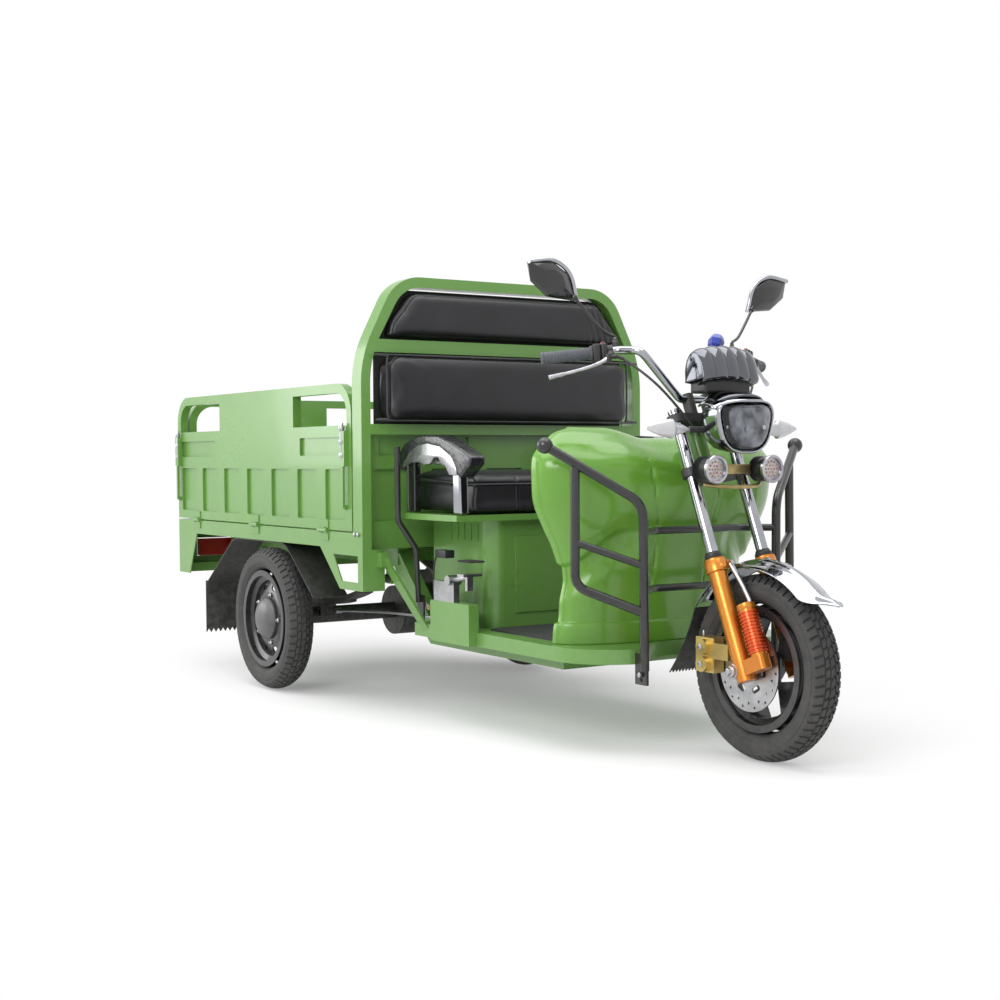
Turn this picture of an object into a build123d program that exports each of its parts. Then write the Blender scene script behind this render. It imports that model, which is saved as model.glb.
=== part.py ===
from build123d import *
from math import cos, radians, sin
import os

# Electric cargo tricycle: one steered front wheel, two driven rear wheels, a bench seat under a
# padded hoop and a steel bed with three drop gates. Millimetres; +X forward, +Y to the driver's
# left, +Z up. The origin is on the ground under the middle of the vehicle.

# Stance and wheels
wheelbase = 1905
rear_track = 1040
tyre_diameter = 490
tyre_width = 92
rim_diameter = 332
bead_diameter = 304
rim_width = 80
rim_wall = 5
tyre_gap = 0.3
disc_diameter = 220
disc_thickness = 4

# Load bed
bed_rear_overhang = 820
bed_length = 1460
bed_width = 1080
sill_bottom = 513
sill_height = 51
sill_width = 40
floor_drop = 4
floor_sheet = 8
floor_rib_depth = 8
gate_gap = 5
gate_top = 1030
gate_thickness = 30
gate_corner = 100
gate_sheet = 14
gate_rail = 30
gate_end_gap = 8
press_depth = 9
mid_rail_bottom = 868
window_length = 385
lower_rail_top = 600
pocket_height = 58
pocket_length = 330
rib_top = 761
rib_width = 140
rib_pitch = 205
hinge_radius = 7
hinge_width = 62
hinge_leaf = 4
hinge_leaf_height = 24
leaf_start = 8
knuckle_radius = 6.4
skirt_sheet = 4
skirt_bottom = 385
skirt_depth = 77
lamp_panel_bottom = 392
bumper_height = 34
mudguard_sheet = 4
mudguard_width = 126

# Chassis
rail_spacing = 660
rail_width = 40
rail_height = 60
axle_tube_diameter = 58
motor_length = 230
motor_diameter = 190
leaf_width = 50
leaf_length = 880
floor_height = 245
floor_thickness = 40
floor_width = 750
floor_front = 1660
floor_rear = 730

# Seat and hoop
hoop_depth = 60
hoop_face = 32
hoop_top = 1357
hoop_shoulder_z = 1105
hoop_top_width = 824
hoop_shoulder_radius = 350
hoop_top_radius = 135
seat_front = 1070
seat_width = 740
seat_bottom = 628
seat_front_height = 56
seat_back_height = 130
seat_box_width = 580
seat_box_front = 1040
seat_tray_thickness = 18
arm_spacing = 800

# Front end
rake = 22.5
crown_offset = 40
leg_lead = 16
leg_spacing = 176
upper_tube_diameter = 33
lower_tube_diameter = 48
fork_top = 704
lower_crown = 520
upper_crown = 674
crown_thickness = 22
lower_leg_top = 285
axle_radius = 9.7
cowl_rear = 1440
cowl_wall = 5
mudguard_radius = 272
steering_limit = 35

# Derived places
front_overhang = 268
tail_overhang = bed_rear_overhang + 22
rear_x = (tail_overhang - wheelbase - front_overhang) / 2
front_x = rear_x + wheelbase
axle_z = tyre_diameter / 2
bed_half = bed_width / 2
bed_rear = rear_x - bed_rear_overhang
bed_front = bed_rear + bed_length
hoop_front = bed_front + hoop_depth
sill_top = sill_bottom + sill_height
gate_bottom = sill_top + gate_gap
mid_rail_top = mid_rail_bottom + gate_rail
bed_floor_top = sill_top - floor_drop
floor_top = floor_height + floor_thickness
steer_x = front_x + leg_lead - crown_offset / cos(radians(rake))
steering = Plane(
    origin=(steer_x, 0, axle_z),
    x_dir=(cos(radians(rake)), 0, sin(radians(rake))),
    z_dir=(-sin(radians(rake)), 0, cos(radians(rake))),
)
os.makedirs("parts", exist_ok=True)


def finish(part, label):
    """Names a finished piece and writes it."""
    part.label = label
    export_step(part, f"parts/{label}.step")


def at_x(distance):
    """The X of a place given from the rear axle."""
    return rear_x + distance


def add_block(low, high, mode=Mode.ADD):
    """Adds a block between two corners to the piece in hand."""
    size = [b - a for a, b in zip(low, high)]
    middle = [(a + b) / 2 for a, b in zip(low, high)]
    with Locations(tuple(middle)):
        Box(*size, mode=mode)


def add_tube(points, bend, radius, mode=Mode.ADD):
    """Adds a round bar along straight runs joined by tangent arcs."""
    with BuildLine() as route:
        if len(points) > 2:
            FilletPolyline(*points, radius=bend)
        else:
            Line(*points)
    with BuildSketch(Plane(route.line @ 0, z_dir=route.line % 0)) as section:
        Circle(radius)
    sweep(sections=section.sketch, path=route.line, mode=mode)


def add_bar(points, bend, width, height, across=(0, 1, 0)):
    """Adds a rectangular bar along a route, its width along the direction across."""
    with BuildLine() as route:
        if len(points) > 2:
            FilletPolyline(*points, radius=bend)
        else:
            Line(*points)
    with BuildSketch(Plane(route.line @ 0, x_dir=across, z_dir=route.line % 0)) as section:
        Rectangle(width, height)
    sweep(sections=section.sketch, path=route.line)


def on_steering(forward, left, up):
    """A point given along the raked steering axis, in the vehicle's frame."""
    return steering.from_local_coords(Vector(forward, left, up))


# Wheels. A wheel's section is drawn across (width) and out (radius) from its centre.
def wheel_plane(x, y):
    return Plane(origin=(x, y, axle_z), x_dir=(0, 1, 0), z_dir=(1, 0, 0))


def wheel_axis(x, y):
    return Axis((x, y, axle_z), (0, 1, 0))


def tyre_section():
    """The tyre's section: beads, sidewalls and a rounded tread, mirrored about the wheel's plane."""
    bead_half = rim_width / 2 - rim_wall - 1
    seat = bead_diameter / 2 + tyre_gap
    rim_edge = rim_diameter / 2
    half = tyre_width / 2
    outer = tyre_diameter / 2
    right = [
        (bead_half, seat),
        (bead_half, rim_edge + 4),
        (half - 3, rim_edge + 18),
        (half, outer - 44),
        (half - 3, outer - 24),
        (half - 12, outer - 9),
        (half - 26, outer - 2),
        (0, outer),
    ]
    left = [(-across, out) for across, out in reversed(right[:-1])]
    with BuildLine() as outline:
        Polyline(*right, *left, close=True)
    make_face(outline.edges())


def rim_section(hub_radius, disc_offset, dish):
    """The rim's half section: flanges, bead seats, dropped well, web and hub."""
    half = rim_width / 2
    seat = bead_diameter / 2
    flange = rim_diameter / 2
    well = seat - 16
    outline = [
        (-half, flange),
        (-half + rim_wall, flange),
        (-half + rim_wall, seat),
        (-half + 20, seat),
        (-half + 28, well),
        (half - 28, well),
        (half - 20, seat),
        (half - rim_wall, seat),
        (half - rim_wall, flange),
        (half, flange),
        (half, seat - rim_wall),
        (half - 18, seat - rim_wall),
        (half - 26, well - rim_wall),
        (-half + 26, well - rim_wall),
        (-half + 18, seat - rim_wall),
        (-half, seat - rim_wall),
    ]
    with BuildLine() as barrel:
        Polyline(*outline, close=True)
    make_face(barrel.edges())
    with BuildLine() as web:
        Polyline(
            (disc_offset - rim_wall, well - 2),
            (disc_offset, well - 2),
            (disc_offset + dish, hub_radius + 20),
            (disc_offset + dish, hub_radius - 4),
            (disc_offset + dish - rim_wall, hub_radius - 4),
            (disc_offset + dish - rim_wall, hub_radius + 20),
            close=True,
        )
    make_face(web.edges())


for wheel, x, y in (
    ("front", front_x, 0),
    ("rear_right", rear_x, -rear_track / 2),
    ("rear_left", rear_x, rear_track / 2),
):
    with BuildPart() as tyre:
        with BuildSketch(wheel_plane(x, y)):
            tyre_section()
        revolve(axis=wheel_axis(x, y))
    finish(tyre.part, f"{wheel}_tyre")

hub_radius = 70
stub_radius = 14
stub_gap = 0.3
drum_width = 66
cap_base = 26
cap_height = 26
cap_steps = ((0.82, 0.45), (0.5, 0.82), (0, 1))
for wheel, side in (("rear_right", -1), ("rear_left", 1)):
    y = side * rear_track / 2
    with BuildPart() as rim:
        with BuildSketch(wheel_plane(rear_x, y)):
            rim_section(hub_radius, 0, side * 14)
        revolve(axis=wheel_axis(rear_x, y))
        with BuildSketch(wheel_plane(rear_x, y)):
            with BuildLine():
                Polyline(
                    (side * 14, 0),
                    (side * 14, stub_radius + stub_gap),
                    (-side * drum_width, stub_radius + stub_gap),
                    (-side * drum_width, 78),
                    (-side * 6, 78),
                    (side * 20, hub_radius),
                    (side * cap_base, hub_radius),
                    *[(side * (cap_base + rise * cap_height), out * hub_radius) for out, rise in cap_steps],
                    close=True,
                )
            make_face()
        revolve(axis=wheel_axis(rear_x, y))
        with BuildSketch(Plane(origin=(rear_x, y, axle_z), x_dir=(1, 0, 0), z_dir=(0, 1, 0))):
            with PolarLocations(111, 10):
                SlotOverall(34, 18, rotation=90)
        extrude(amount=rim_width / 2, both=True, mode=Mode.SUBTRACT)
    finish(rim.part, f"{wheel}_rim")

front_hub_radius = 42
spoke_count = 5
with BuildPart() as front_rim:
    with BuildSketch(wheel_plane(front_x, 0)):
        rim_section(front_hub_radius, 4, 0)
    revolve(axis=wheel_axis(front_x, 0))
    with BuildSketch(wheel_plane(front_x, 0)):
        with BuildLine():
            Polyline((-46, 10), (-46, 30), (-30, front_hub_radius), (30, front_hub_radius), (46, 30), (46, 10), close=True)
        make_face()
    revolve(axis=wheel_axis(front_x, 0))
    with BuildSketch(Plane(origin=(front_x, 0, axle_z), x_dir=(1, 0, 0), z_dir=(0, 1, 0))):
        with PolarLocations(92, spoke_count):
            Trapezoid(62, 72, 98, rotation=90)
    extrude(amount=rim_width / 2, both=True, mode=Mode.SUBTRACT)
finish(front_rim.part, "front_rim")

disc_y = -56
disc_holes = 14
with BuildPart() as brake_disc:
    with BuildSketch(Plane(origin=(front_x, disc_y, axle_z), x_dir=(1, 0, 0), z_dir=(0, 1, 0))):
        Circle(disc_diameter / 2)
        with PolarLocations(56, 6):
            SlotOverall(30, 16, rotation=90, mode=Mode.SUBTRACT)
        for ring, turn in ((100, 0), (88, 180 / disc_holes)):
            with PolarLocations(ring, disc_holes, start_angle=turn):
                Circle(3.5, mode=Mode.SUBTRACT)
        Circle(10, mode=Mode.SUBTRACT)
    extrude(amount=disc_thickness / 2, both=True)
    with BuildSketch(Plane(origin=(front_x, disc_y, axle_z), x_dir=(1, 0, 0), z_dir=(0, 1, 0))):
        Circle(36)
        Circle(10, mode=Mode.SUBTRACT)
    extrude(amount=-disc_y - 46)
finish(brake_disc.part, "brake_disc")


# Load bed. A gate is drawn on its outer face; inward is the way its thickness goes.
def press(plane, inward, panels, corner=6):
    """Panels pressed inward: pockets outside and pads inside, so that the sheet goes on."""
    with BuildSketch(plane) as pockets:
        for x, z, length, height in panels:
            with Locations((x, z)):
                RectangleRounded(length, height, corner)
    extrude(to_extrude=pockets.sketch, amount=inward * press_depth, mode=Mode.SUBTRACT)
    with BuildSketch(plane.offset(inward * gate_sheet)) as pads:
        for x, z, length, height in panels:
            with Locations((x, z)):
                RectangleRounded(length + 8, height + 8, corner + 4)
    extrude(to_extrude=pads.sketch, amount=inward * press_depth)


def gate_panel(plane, inward, start, end):
    """A drop gate: edge rails, sheet, two windows under the top rail and rows of pressed panels."""
    length = end - start
    middle = (start + end) / 2
    with BuildSketch(plane) as outline:
        with Locations((middle, (gate_bottom + gate_top) / 2)):
            Rectangle(length, gate_top - gate_bottom)
        fillet(outline.vertices().group_by(Axis.Y)[-1], gate_corner)
    extrude(to_extrude=outline.sketch, amount=inward * gate_thickness)
    window_height = gate_top - gate_rail - mid_rail_top
    for way in (-1, 1):
        with BuildSketch(plane) as window:
            with Locations((middle + way * (length / 2 - gate_rail - window_length / 2), mid_rail_top + window_height / 2)):
                Rectangle(window_length, window_height)
            corners = window.vertices().group_by(Axis.Y)[-1].sort_by(Axis.X)
            fillet(corners[-1] if way > 0 else corners[0], gate_corner - gate_rail)
        extrude(to_extrude=window.sketch, amount=inward * gate_thickness, mode=Mode.SUBTRACT)
    with BuildSketch(plane.offset(inward * gate_sheet)) as inside:
        with Locations((middle, (gate_bottom + gate_rail + mid_rail_bottom) / 2)):
            Rectangle(length - 2 * gate_rail, mid_rail_bottom - gate_bottom - gate_rail)
    extrude(to_extrude=inside.sketch, amount=inward * (gate_thickness - gate_sheet), mode=Mode.SUBTRACT)
    rib_count = int((length - 2 * gate_rail) / rib_pitch + 0.4)
    panels = []
    for step in range(rib_count):
        x = middle + (step - (rib_count - 1) / 2) * rib_pitch
        panels.append((x, (lower_rail_top + rib_top) / 2, rib_width, rib_top - lower_rail_top))
    for way in (-1, 1):
        x = middle + way * (length / 2 - gate_rail - pocket_length / 2 - 6)
        panels.append((x, mid_rail_bottom - 6 - pocket_height / 2, pocket_length, pocket_height))
    press(plane, inward, panels)


def hinge_places(start, end):
    """Three hinges along a gate."""
    middle = (start + end) / 2
    reach = (end - start) / 2 - 190
    return (middle - reach, middle, middle + reach)


def add_hinge(plane, inward, place, way):
    """Half a hinge on a panel's outer face: the upper half has one knuckle, the lower has two."""
    third = hinge_width / 3
    with BuildSketch(plane) as leaf:
        with Locations((place, hinge_z + way * (leaf_start + hinge_leaf_height / 2))):
            Rectangle(hinge_width, hinge_leaf_height)
    extrude(to_extrude=leaf.sketch, amount=-inward * hinge_leaf)
    for step in (0,) if way > 0 else (-1, 1):
        with BuildSketch(plane) as arm:
            with Locations((place + step * third, hinge_z + way * (leaf_start - 1) / 2)):
                Rectangle(third - 1, leaf_start + 3)
        extrude(to_extrude=arm.sketch, amount=-inward * hinge_radius)
        middle = plane.from_local_coords(Vector(place + step * third, hinge_z, -inward * hinge_radius))
        with Locations(Location(Plane(middle, x_dir=plane.z_dir, z_dir=plane.x_dir))):
            Cylinder(knuckle_radius, third - 1)


gate_start = bed_rear
gate_end = bed_front - gate_end_gap
tail_half = bed_half - gate_thickness - 6
hinge_z = sill_top + gate_gap / 2
latch_z = 700

for name, side in (("right", -1), ("left", 1)):
    outer = side * bed_half
    plane = Plane.XZ.offset(-outer)
    with BuildPart() as gate:
        gate_panel(plane, side, gate_start, gate_end)
        for x in hinge_places(gate_start, gate_end):
            add_hinge(plane, side, x, 1)
        for x in (gate_end - 34, gate_start + 26):
            add_block(
                (x - 14, min(outer, outer + side * 16), 770),
                (x + 14, max(outer, outer + side * 16), 880),
            )
            add_block(
                (x - 5, min(outer + side * 8, outer + side * 16), 640),
                (x + 5, max(outer + side * 8, outer + side * 16), 775),
            )
            add_block(
                (x - 5, min(outer, outer + side * 10), 636),
                (x + 5, max(outer, outer + side * 10), 650),
            )
    finish(gate.part, f"gate_{name}")

with BuildPart() as tailgate:
    gate_panel(Plane.YZ.offset(bed_rear), 1, -tail_half, tail_half)
    for y in hinge_places(-tail_half, tail_half):
        add_hinge(Plane.YZ.offset(bed_rear), 1, y, 1)
finish(tailgate.part, "tailgate")

with BuildPart() as bed_frame:
    for side in (-1, 1):
        outer = side * bed_half
        inner = side * (bed_half - sill_width)
        add_block((bed_rear, min(outer, inner), sill_bottom), (bed_front, max(outer, inner), sill_top))
        for x in hinge_places(gate_start, gate_end):
            add_hinge(Plane.XZ.offset(-outer), side, x, -1)
        # Front skirt with its window, closed at the front
        with BuildSketch(Plane.XZ.offset(-outer)):
            with BuildLine():
                Polyline(
                    (at_x(408), sill_bottom),
                    (at_x(546), skirt_bottom),
                    (hoop_front, skirt_bottom),
                    (hoop_front, sill_bottom),
                    close=True,
                )
            make_face()
            with BuildLine():
                Polyline(
                    (at_x(502), sill_bottom - 20),
                    (at_x(560), skirt_bottom + 25),
                    (at_x(668), skirt_bottom + 25),
                    (at_x(668), sill_bottom - 20),
                    close=True,
                )
            make_face(mode=Mode.SUBTRACT)
        extrude(amount=side * skirt_sheet)
        add_block(
            (hoop_front - skirt_sheet, min(outer, outer - side * skirt_depth), skirt_bottom),
            (hoop_front, max(outer, outer - side * skirt_depth), sill_bottom),
        )
        add_block(
            (at_x(546), min(outer, outer - side * skirt_depth), skirt_bottom),
            (hoop_front, max(outer, outer - side * skirt_depth), skirt_bottom + skirt_sheet),
        )
        add_block(
            (bed_front - 10, min(outer, outer - side * skirt_depth), sill_bottom - skirt_sheet),
            (hoop_front, max(outer, outer - side * skirt_depth), sill_bottom),
        )
        # Rear corner skirt
        with BuildSketch(Plane.XZ.offset(-outer)):
            with BuildLine():
                Polyline(
                    (bed_rear, sill_bottom),
                    (bed_rear, lamp_panel_bottom - bumper_height),
                    (at_x(-716), lamp_panel_bottom - bumper_height),
                    (at_x(-640), sill_bottom),
                    close=True,
                )
            make_face()
        extrude(amount=side * skirt_sheet)
    for low, high in ((bed_rear, bed_rear + sill_width), (bed_front - sill_width, bed_front)):
        add_block((low, -bed_half, sill_bottom), (high, bed_half, sill_top))
    for y in hinge_places(-tail_half, tail_half):
        add_hinge(Plane.YZ.offset(bed_rear), 1, y, -1)
    cross_top = bed_floor_top - floor_sheet - floor_rib_depth
    for distance in (-520, -40, 360):
        add_block(
            (at_x(distance - 20), -bed_half, sill_bottom),
            (at_x(distance + 20), bed_half, cross_top),
        )
    # Rear lamp panel and the bumper tube along its foot
    add_block((bed_rear, -bed_half, lamp_panel_bottom), (bed_rear + skirt_sheet, bed_half, sill_bottom))
    add_block(
        (bed_rear, -bed_half, lamp_panel_bottom - bumper_height),
        (bed_rear + 30, bed_half, lamp_panel_bottom),
    )
    for side in (-1, 1):
        with BuildSketch(Plane.YZ.offset(bed_rear)):
            with Locations((side * 395, 452)):
                Rectangle(150, 70)
        extrude(amount=skirt_sheet, mode=Mode.SUBTRACT)
finish(bed_frame.part, "bed_frame")

with BuildPart() as bed_floor:
    inner = bed_half - sill_width
    add_block(
        (bed_rear + sill_width, -inner, bed_floor_top - floor_sheet),
        (bed_front - sill_width, inner, bed_floor_top),
    )
    for step in range(-4, 5):
        y = step * 105
        add_block(
            (bed_rear + sill_width, y - 30, bed_floor_top - floor_sheet - floor_rib_depth),
            (bed_front - sill_width, y + 30, bed_floor_top - floor_sheet),
        )
finish(bed_floor.part, "bed_floor")

bulkhead_half = bed_half - hoop_face
with BuildPart() as bed_bulkhead:
    bulkhead_plane = Plane.YZ.offset(bed_front + 30)
    add_block(
        (bed_front + 30 - gate_sheet, -bulkhead_half, sill_bottom),
        (bed_front + 30, bulkhead_half, mid_rail_bottom),
    )
    panels = []
    for step in range(5):
        panels.append(((step - 2) * rib_pitch, (lower_rail_top + rib_top) / 2, rib_width, rib_top - lower_rail_top))
    for way in (-1, 1):
        panels.append((way * 300, mid_rail_bottom - 36, pocket_length, pocket_height))
    press(bulkhead_plane, -1, panels)
finish(bed_bulkhead.part, "bed_bulkhead")

# Mudguards: an arch over each rear wheel, hung from the bed, with a rubber flap behind
guard_top = sill_bottom - 1
guard_out = bed_half - skirt_sheet - 1
guard_in = guard_out - mudguard_width
guard_rear_low = (at_x(-560), 330)
guard_front_low = (at_x(345), 340)
with BuildPart() as rear_mudguards:
    for side in (-1, 1):
        with BuildLine() as arch:
            FilletPolyline(
                (guard_rear_low[0], 0, guard_rear_low[1]),
                (at_x(-300), 0, guard_top - 2),
                (at_x(130), 0, guard_top - 2),
                (guard_front_low[0], 0, guard_front_low[1]),
                radius=120,
            )
        start = arch.line @ 0
        with BuildSketch(Plane((start.X, side * (guard_out + guard_in) / 2, start.Z), x_dir=(0, 1, 0), z_dir=arch.line % 0)) as strip:
            Rectangle(mudguard_width, mudguard_sheet)
        sweep(sections=strip.sketch, path=arch.line.moved(Location((0, side * (guard_out + guard_in) / 2, 0))))
finish(rear_mudguards.part, "rear_mudguards")

with BuildPart() as rear_flaps:
    for side in (-1, 1):
        middle = side * (guard_out + guard_in) / 2
        with BuildSketch(Plane.YZ.offset(guard_rear_low[0] - 5)):
            with Locations((middle, 240)):
                Rectangle(mudguard_width, 196)
            for tooth in range(6):
                with Locations((middle + (tooth - 2.5) * 21, 142)):
                    RegularPolygon(11, 3, rotation=90, mode=Mode.SUBTRACT)
        extrude(amount=-5)
finish(rear_flaps.part, "rear_flaps")

# Hoop behind the seat
with BuildPart() as seat_hoop:
    with BuildSketch(Plane.YZ.offset(bed_front)) as frame_face:
        for inset, mode in ((0, Mode.ADD), (hoop_face, Mode.SUBTRACT)):
            half = bed_half - inset
            top_half = hoop_top_width / 2 - inset * 0.75
            with BuildLine():
                FilletPolyline(
                    (-half, sill_bottom),
                    (-half, hoop_shoulder_z),
                    (-top_half, hoop_top - inset),
                    (top_half, hoop_top - inset),
                    (half, hoop_shoulder_z),
                    (half, sill_bottom),
                    radius=(
                        hoop_shoulder_radius - inset,
                        hoop_top_radius - inset,
                        hoop_top_radius - inset,
                        hoop_shoulder_radius - inset,
                    ),
                )
                Line((half, sill_bottom), (-half, sill_bottom))
            make_face(mode=mode)
        for low, high in ((mid_rail_bottom, mid_rail_bottom + 32), (1121, 1161)):
            with Locations((0, (low + high) / 2)):
                Rectangle(2 * (bed_half - hoop_face) - (0 if low < 1000 else 30), high - low)
    extrude(to_extrude=frame_face.sketch, amount=hoop_depth)
finish(seat_hoop.part, "seat_hoop")

with BuildPart() as back_cushion_lower:
    with BuildSketch(Plane.YZ.offset(bed_front + 20)):
        with Locations((0, (906 + 1116) / 2)):
            RectangleRounded(934, 1116 - 906, 18)
    extrude(amount=80)
finish(back_cushion_lower.part, "back_cushion_lower")

with BuildPart() as back_cushion_upper:
    with BuildSketch(Plane.YZ.offset(bed_front + 14)):
        with BuildLine():
            FilletPolyline(
                (-456, 1167), (-372, 1313), (372, 1313), (456, 1167), close=True, radius=(14, 40, 40, 14)
            )
        make_face()
    extrude(amount=62)
finish(back_cushion_upper.part, "back_cushion_upper")

# Seat
seat_rear = hoop_front + 14
with BuildPart() as seat_cushion:
    with BuildSketch(Plane.XZ.offset(-seat_width / 2)):
        with BuildLine():
            Polyline(
                (seat_rear, seat_bottom),
                (at_x(seat_front), seat_bottom),
                (at_x(seat_front), seat_bottom + seat_front_height),
                (at_x(seat_front) - 110, seat_bottom + seat_front_height + 22),
                (seat_rear, seat_bottom + seat_back_height),
                close=True,
            )
        make_face()
    extrude(amount=seat_width)
    fillet(seat_cushion.edges().filter_by(Axis.Z).group_by(Axis.X)[-1], 26)
finish(seat_cushion.part, "seat_cushion")

box_emboss = 3
box_ribs = 5
box_rib_start = 800
box_rib_pitch = 38
box_rib_width = 18
box_rib_low = 545
box_rib_high = 595
box_panel_half = 205
box_panel_low = 330
box_panel_high = 560
with BuildPart() as seat_box:
    tray_top = seat_bottom - 1
    with BuildSketch(Plane.XY.offset(floor_top)):
        with Locations((( hoop_front + 6 + at_x(seat_box_front)) / 2, 0)):
            Rectangle(at_x(seat_box_front) - hoop_front - 6, seat_box_width)
    extrude(amount=tray_top - seat_tray_thickness - floor_top)
    fillet(seat_box.edges().filter_by(Axis.Z).group_by(Axis.X)[-1], 48)
    hollow = seat_box_width / 2 - 4
    add_block(
        (hoop_front + 10, -hollow + 40, floor_top),
        (at_x(seat_box_front) - 44, hollow - 40, tray_top - seat_tray_thickness - 4),
        mode=Mode.SUBTRACT,
    )
    add_block(
        (hoop_front + 4, -arm_spacing / 2 - 24, tray_top - seat_tray_thickness),
        (at_x(seat_front) - 6, arm_spacing / 2 + 24, tray_top),
    )
    for side in (-1, 1):
        face = side * seat_box_width / 2
        for step in range(box_ribs):
            x = at_x(box_rib_start + step * box_rib_pitch)
            add_block(
                (x, min(face, face + side * box_emboss), box_rib_low),
                (x + box_rib_width, max(face, face + side * box_emboss), box_rib_high),
            )
    add_block(
        (at_x(seat_box_front), -box_panel_half, box_panel_low),
        (at_x(seat_box_front) + box_emboss, box_panel_half, box_panel_high),
    )
finish(seat_box.part, "seat_box")

with BuildPart() as battery_pack:
    add_block(
        (hoop_front + 22, -230, floor_top),
        (at_x(seat_box_front) - 56, 230, floor_top + 230),
    )
finish(battery_pack.part, "battery_pack")

# Armrests: a cast side plate with an arched foot, under a pad that slopes down to the front
arm_plate = 14
arm_pad_width = 54
arm_crown = (920, 866)
arm_shoulder = (800, 856)
arm_fall = (1034, 841)
arm_tip = (1149, 797)
arm_chin = (1143, 774)
arm_heel = (719, 800)
arm_rear_post = (752, 797)
arm_front_post = (1020, 1062)


def arm_top():
    """The pad's upper line, from its heel over the crown to its tip."""
    heel, shoulder, crown, fall, tip, chin = (
        (at_x(x), z) for x, z in (arm_heel, arm_shoulder, arm_crown, arm_fall, arm_tip, arm_chin)
    )
    ThreePointArc(heel, ((heel[0] + shoulder[0]) / 2 - 12, (heel[1] + shoulder[1]) / 2 + 6), shoulder)
    ThreePointArc(shoulder, crown, fall)
    Polyline(fall, tip, chin)


with BuildPart() as armrests:
    for side in (-1, 1):
        y = side * arm_spacing / 2
        with BuildSketch(Plane.XZ.offset(-y - arm_plate / 2)) as plate:
            with BuildLine() as edge:
                arm_top()
                Polyline(
                    (at_x(arm_chin[0]), arm_chin[1]),
                    (at_x(arm_front_post[1]), 745),
                    (at_x(arm_front_post[1]), tray_top),
                    (at_x(arm_front_post[0]), tray_top),
                    (at_x(arm_front_post[0]), 745),
                )
                ThreePointArc((at_x(arm_front_post[0]), 745), (at_x(950), 797), (at_x(895), 778))
                Polyline(
                    (at_x(895), 778),
                    (at_x(arm_rear_post[1]), 783),
                    (at_x(arm_rear_post[1]), tray_top),
                    (at_x(arm_rear_post[0]), tray_top),
                    (at_x(arm_rear_post[0]), 758),
                    (at_x(arm_heel[0]), 758),
                    (at_x(arm_heel[0]), arm_heel[1]),
                )
            make_face(edge.edges())
        extrude(to_extrude=plate.sketch, amount=arm_plate)
        with BuildSketch(Plane.XZ.offset(-y - arm_pad_width / 2)) as pad:
            with BuildLine() as edge:
                arm_top()
                Line((at_x(arm_chin[0]), arm_chin[1]), (at_x(1030), 816))
                ThreePointArc((at_x(1030), 816), (at_x(920), 838), (at_x(806), 828))
                Polyline(
                    (at_x(806), 828),
                    (at_x(760), 778),
                    (at_x(arm_heel[0]), 778),
                    (at_x(arm_heel[0]), arm_heel[1]),
                )
            make_face(edge.edges())
        extrude(to_extrude=pad.sketch, amount=arm_pad_width)
finish(armrests.part, "armrests")

# Chassis: two rails that drop in front of the bed, run under the floor and rise to the head tube
head_low = lower_crown + crown_thickness + 4
head_high = upper_crown - 4
head_radius = 27
stem_radius = 16
stem_gap = 0.4
rail_z = sill_bottom - rail_height / 2
low_rail_z = floor_height - 20
spring_y = rail_spacing / 2
eye_reach = leaf_length / 2
eye_z = 400
neck_size = 50
neck_play = 6


def add_neck(size, mode=Mode.ADD):
    """The square tube that rises from the low rails to the head tube."""
    head_middle = (head_low + head_high) / 2
    points = [
        (at_x(1380), 0, low_rail_z),
        (at_x(1480), 0, floor_top + 60),
        on_steering(-85, 0, head_middle),
        on_steering(-20, 0, head_middle),
    ]
    with BuildLine() as route:
        FilletPolyline(*points, radius=(60, 40))
    with BuildSketch(Plane(route.line @ 0, x_dir=(0, 1, 0), z_dir=route.line % 0)) as section:
        Rectangle(size, size)
    sweep(sections=section.sketch, path=route.line, mode=mode)


# Driver's floor: a pan with a cut for the front wheel, two struts to the bed and a pedal bracket
pan_front = at_x(floor_front)
pan_half = floor_width / 2
pan_corner = 140
pan_sheet = 6
wheel_cut = 312
with BuildPart() as floor_pan:
    with BuildSketch(Plane.XY.offset(floor_height)) as pan_face:
        with BuildLine():
            Polyline(
                (pan_front, -pan_half + pan_corner),
                (pan_front, pan_half - pan_corner),
            )
            ThreePointArc(
                (pan_front, pan_half - pan_corner),
                (pan_front - 50, pan_half - 50),
                (pan_front - 180, pan_half),
            )
            Polyline(
                (pan_front - 180, pan_half),
                (at_x(floor_rear), pan_half),
                (at_x(floor_rear), -pan_half),
                (pan_front - 180, -pan_half),
            )
            ThreePointArc(
                (pan_front - 180, -pan_half),
                (pan_front - 50, -pan_half + 50),
                (pan_front, -pan_half + pan_corner),
            )
        make_face()
        with Locations((steer_x, 0)):
            Circle(wheel_cut, mode=Mode.SUBTRACT)
    extrude(amount=floor_thickness)
    with BuildSketch(Plane.XY.offset(floor_height)):
        add(offset(pan_face.sketch, -pan_sheet, mode=Mode.PRIVATE))
    extrude(amount=floor_thickness - pan_sheet, mode=Mode.SUBTRACT)
    for side in (-1, 1):
        add_bar(
            [
                (hoop_front + 20, side * (bed_half - skirt_depth + 14), 486),
                (at_x(floor_rear + 70), side * (pan_half - 8), floor_height + 12),
            ],
            0,
            8,
            34,
            across=(0, 1, 0),
        )
        strut_y = side * (bed_half - skirt_depth + 14)
        add_block((hoop_front + 0.3, strut_y - 14, 460), (hoop_front + 30, strut_y + 10, 505))
    add_block((at_x(870), -pan_half - 26, floor_height), (at_x(1090), -pan_half + 8, floor_height + 122))
    add_neck(neck_size + neck_play, Mode.SUBTRACT)
finish(floor_pan.part, "floor_pan")

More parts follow.
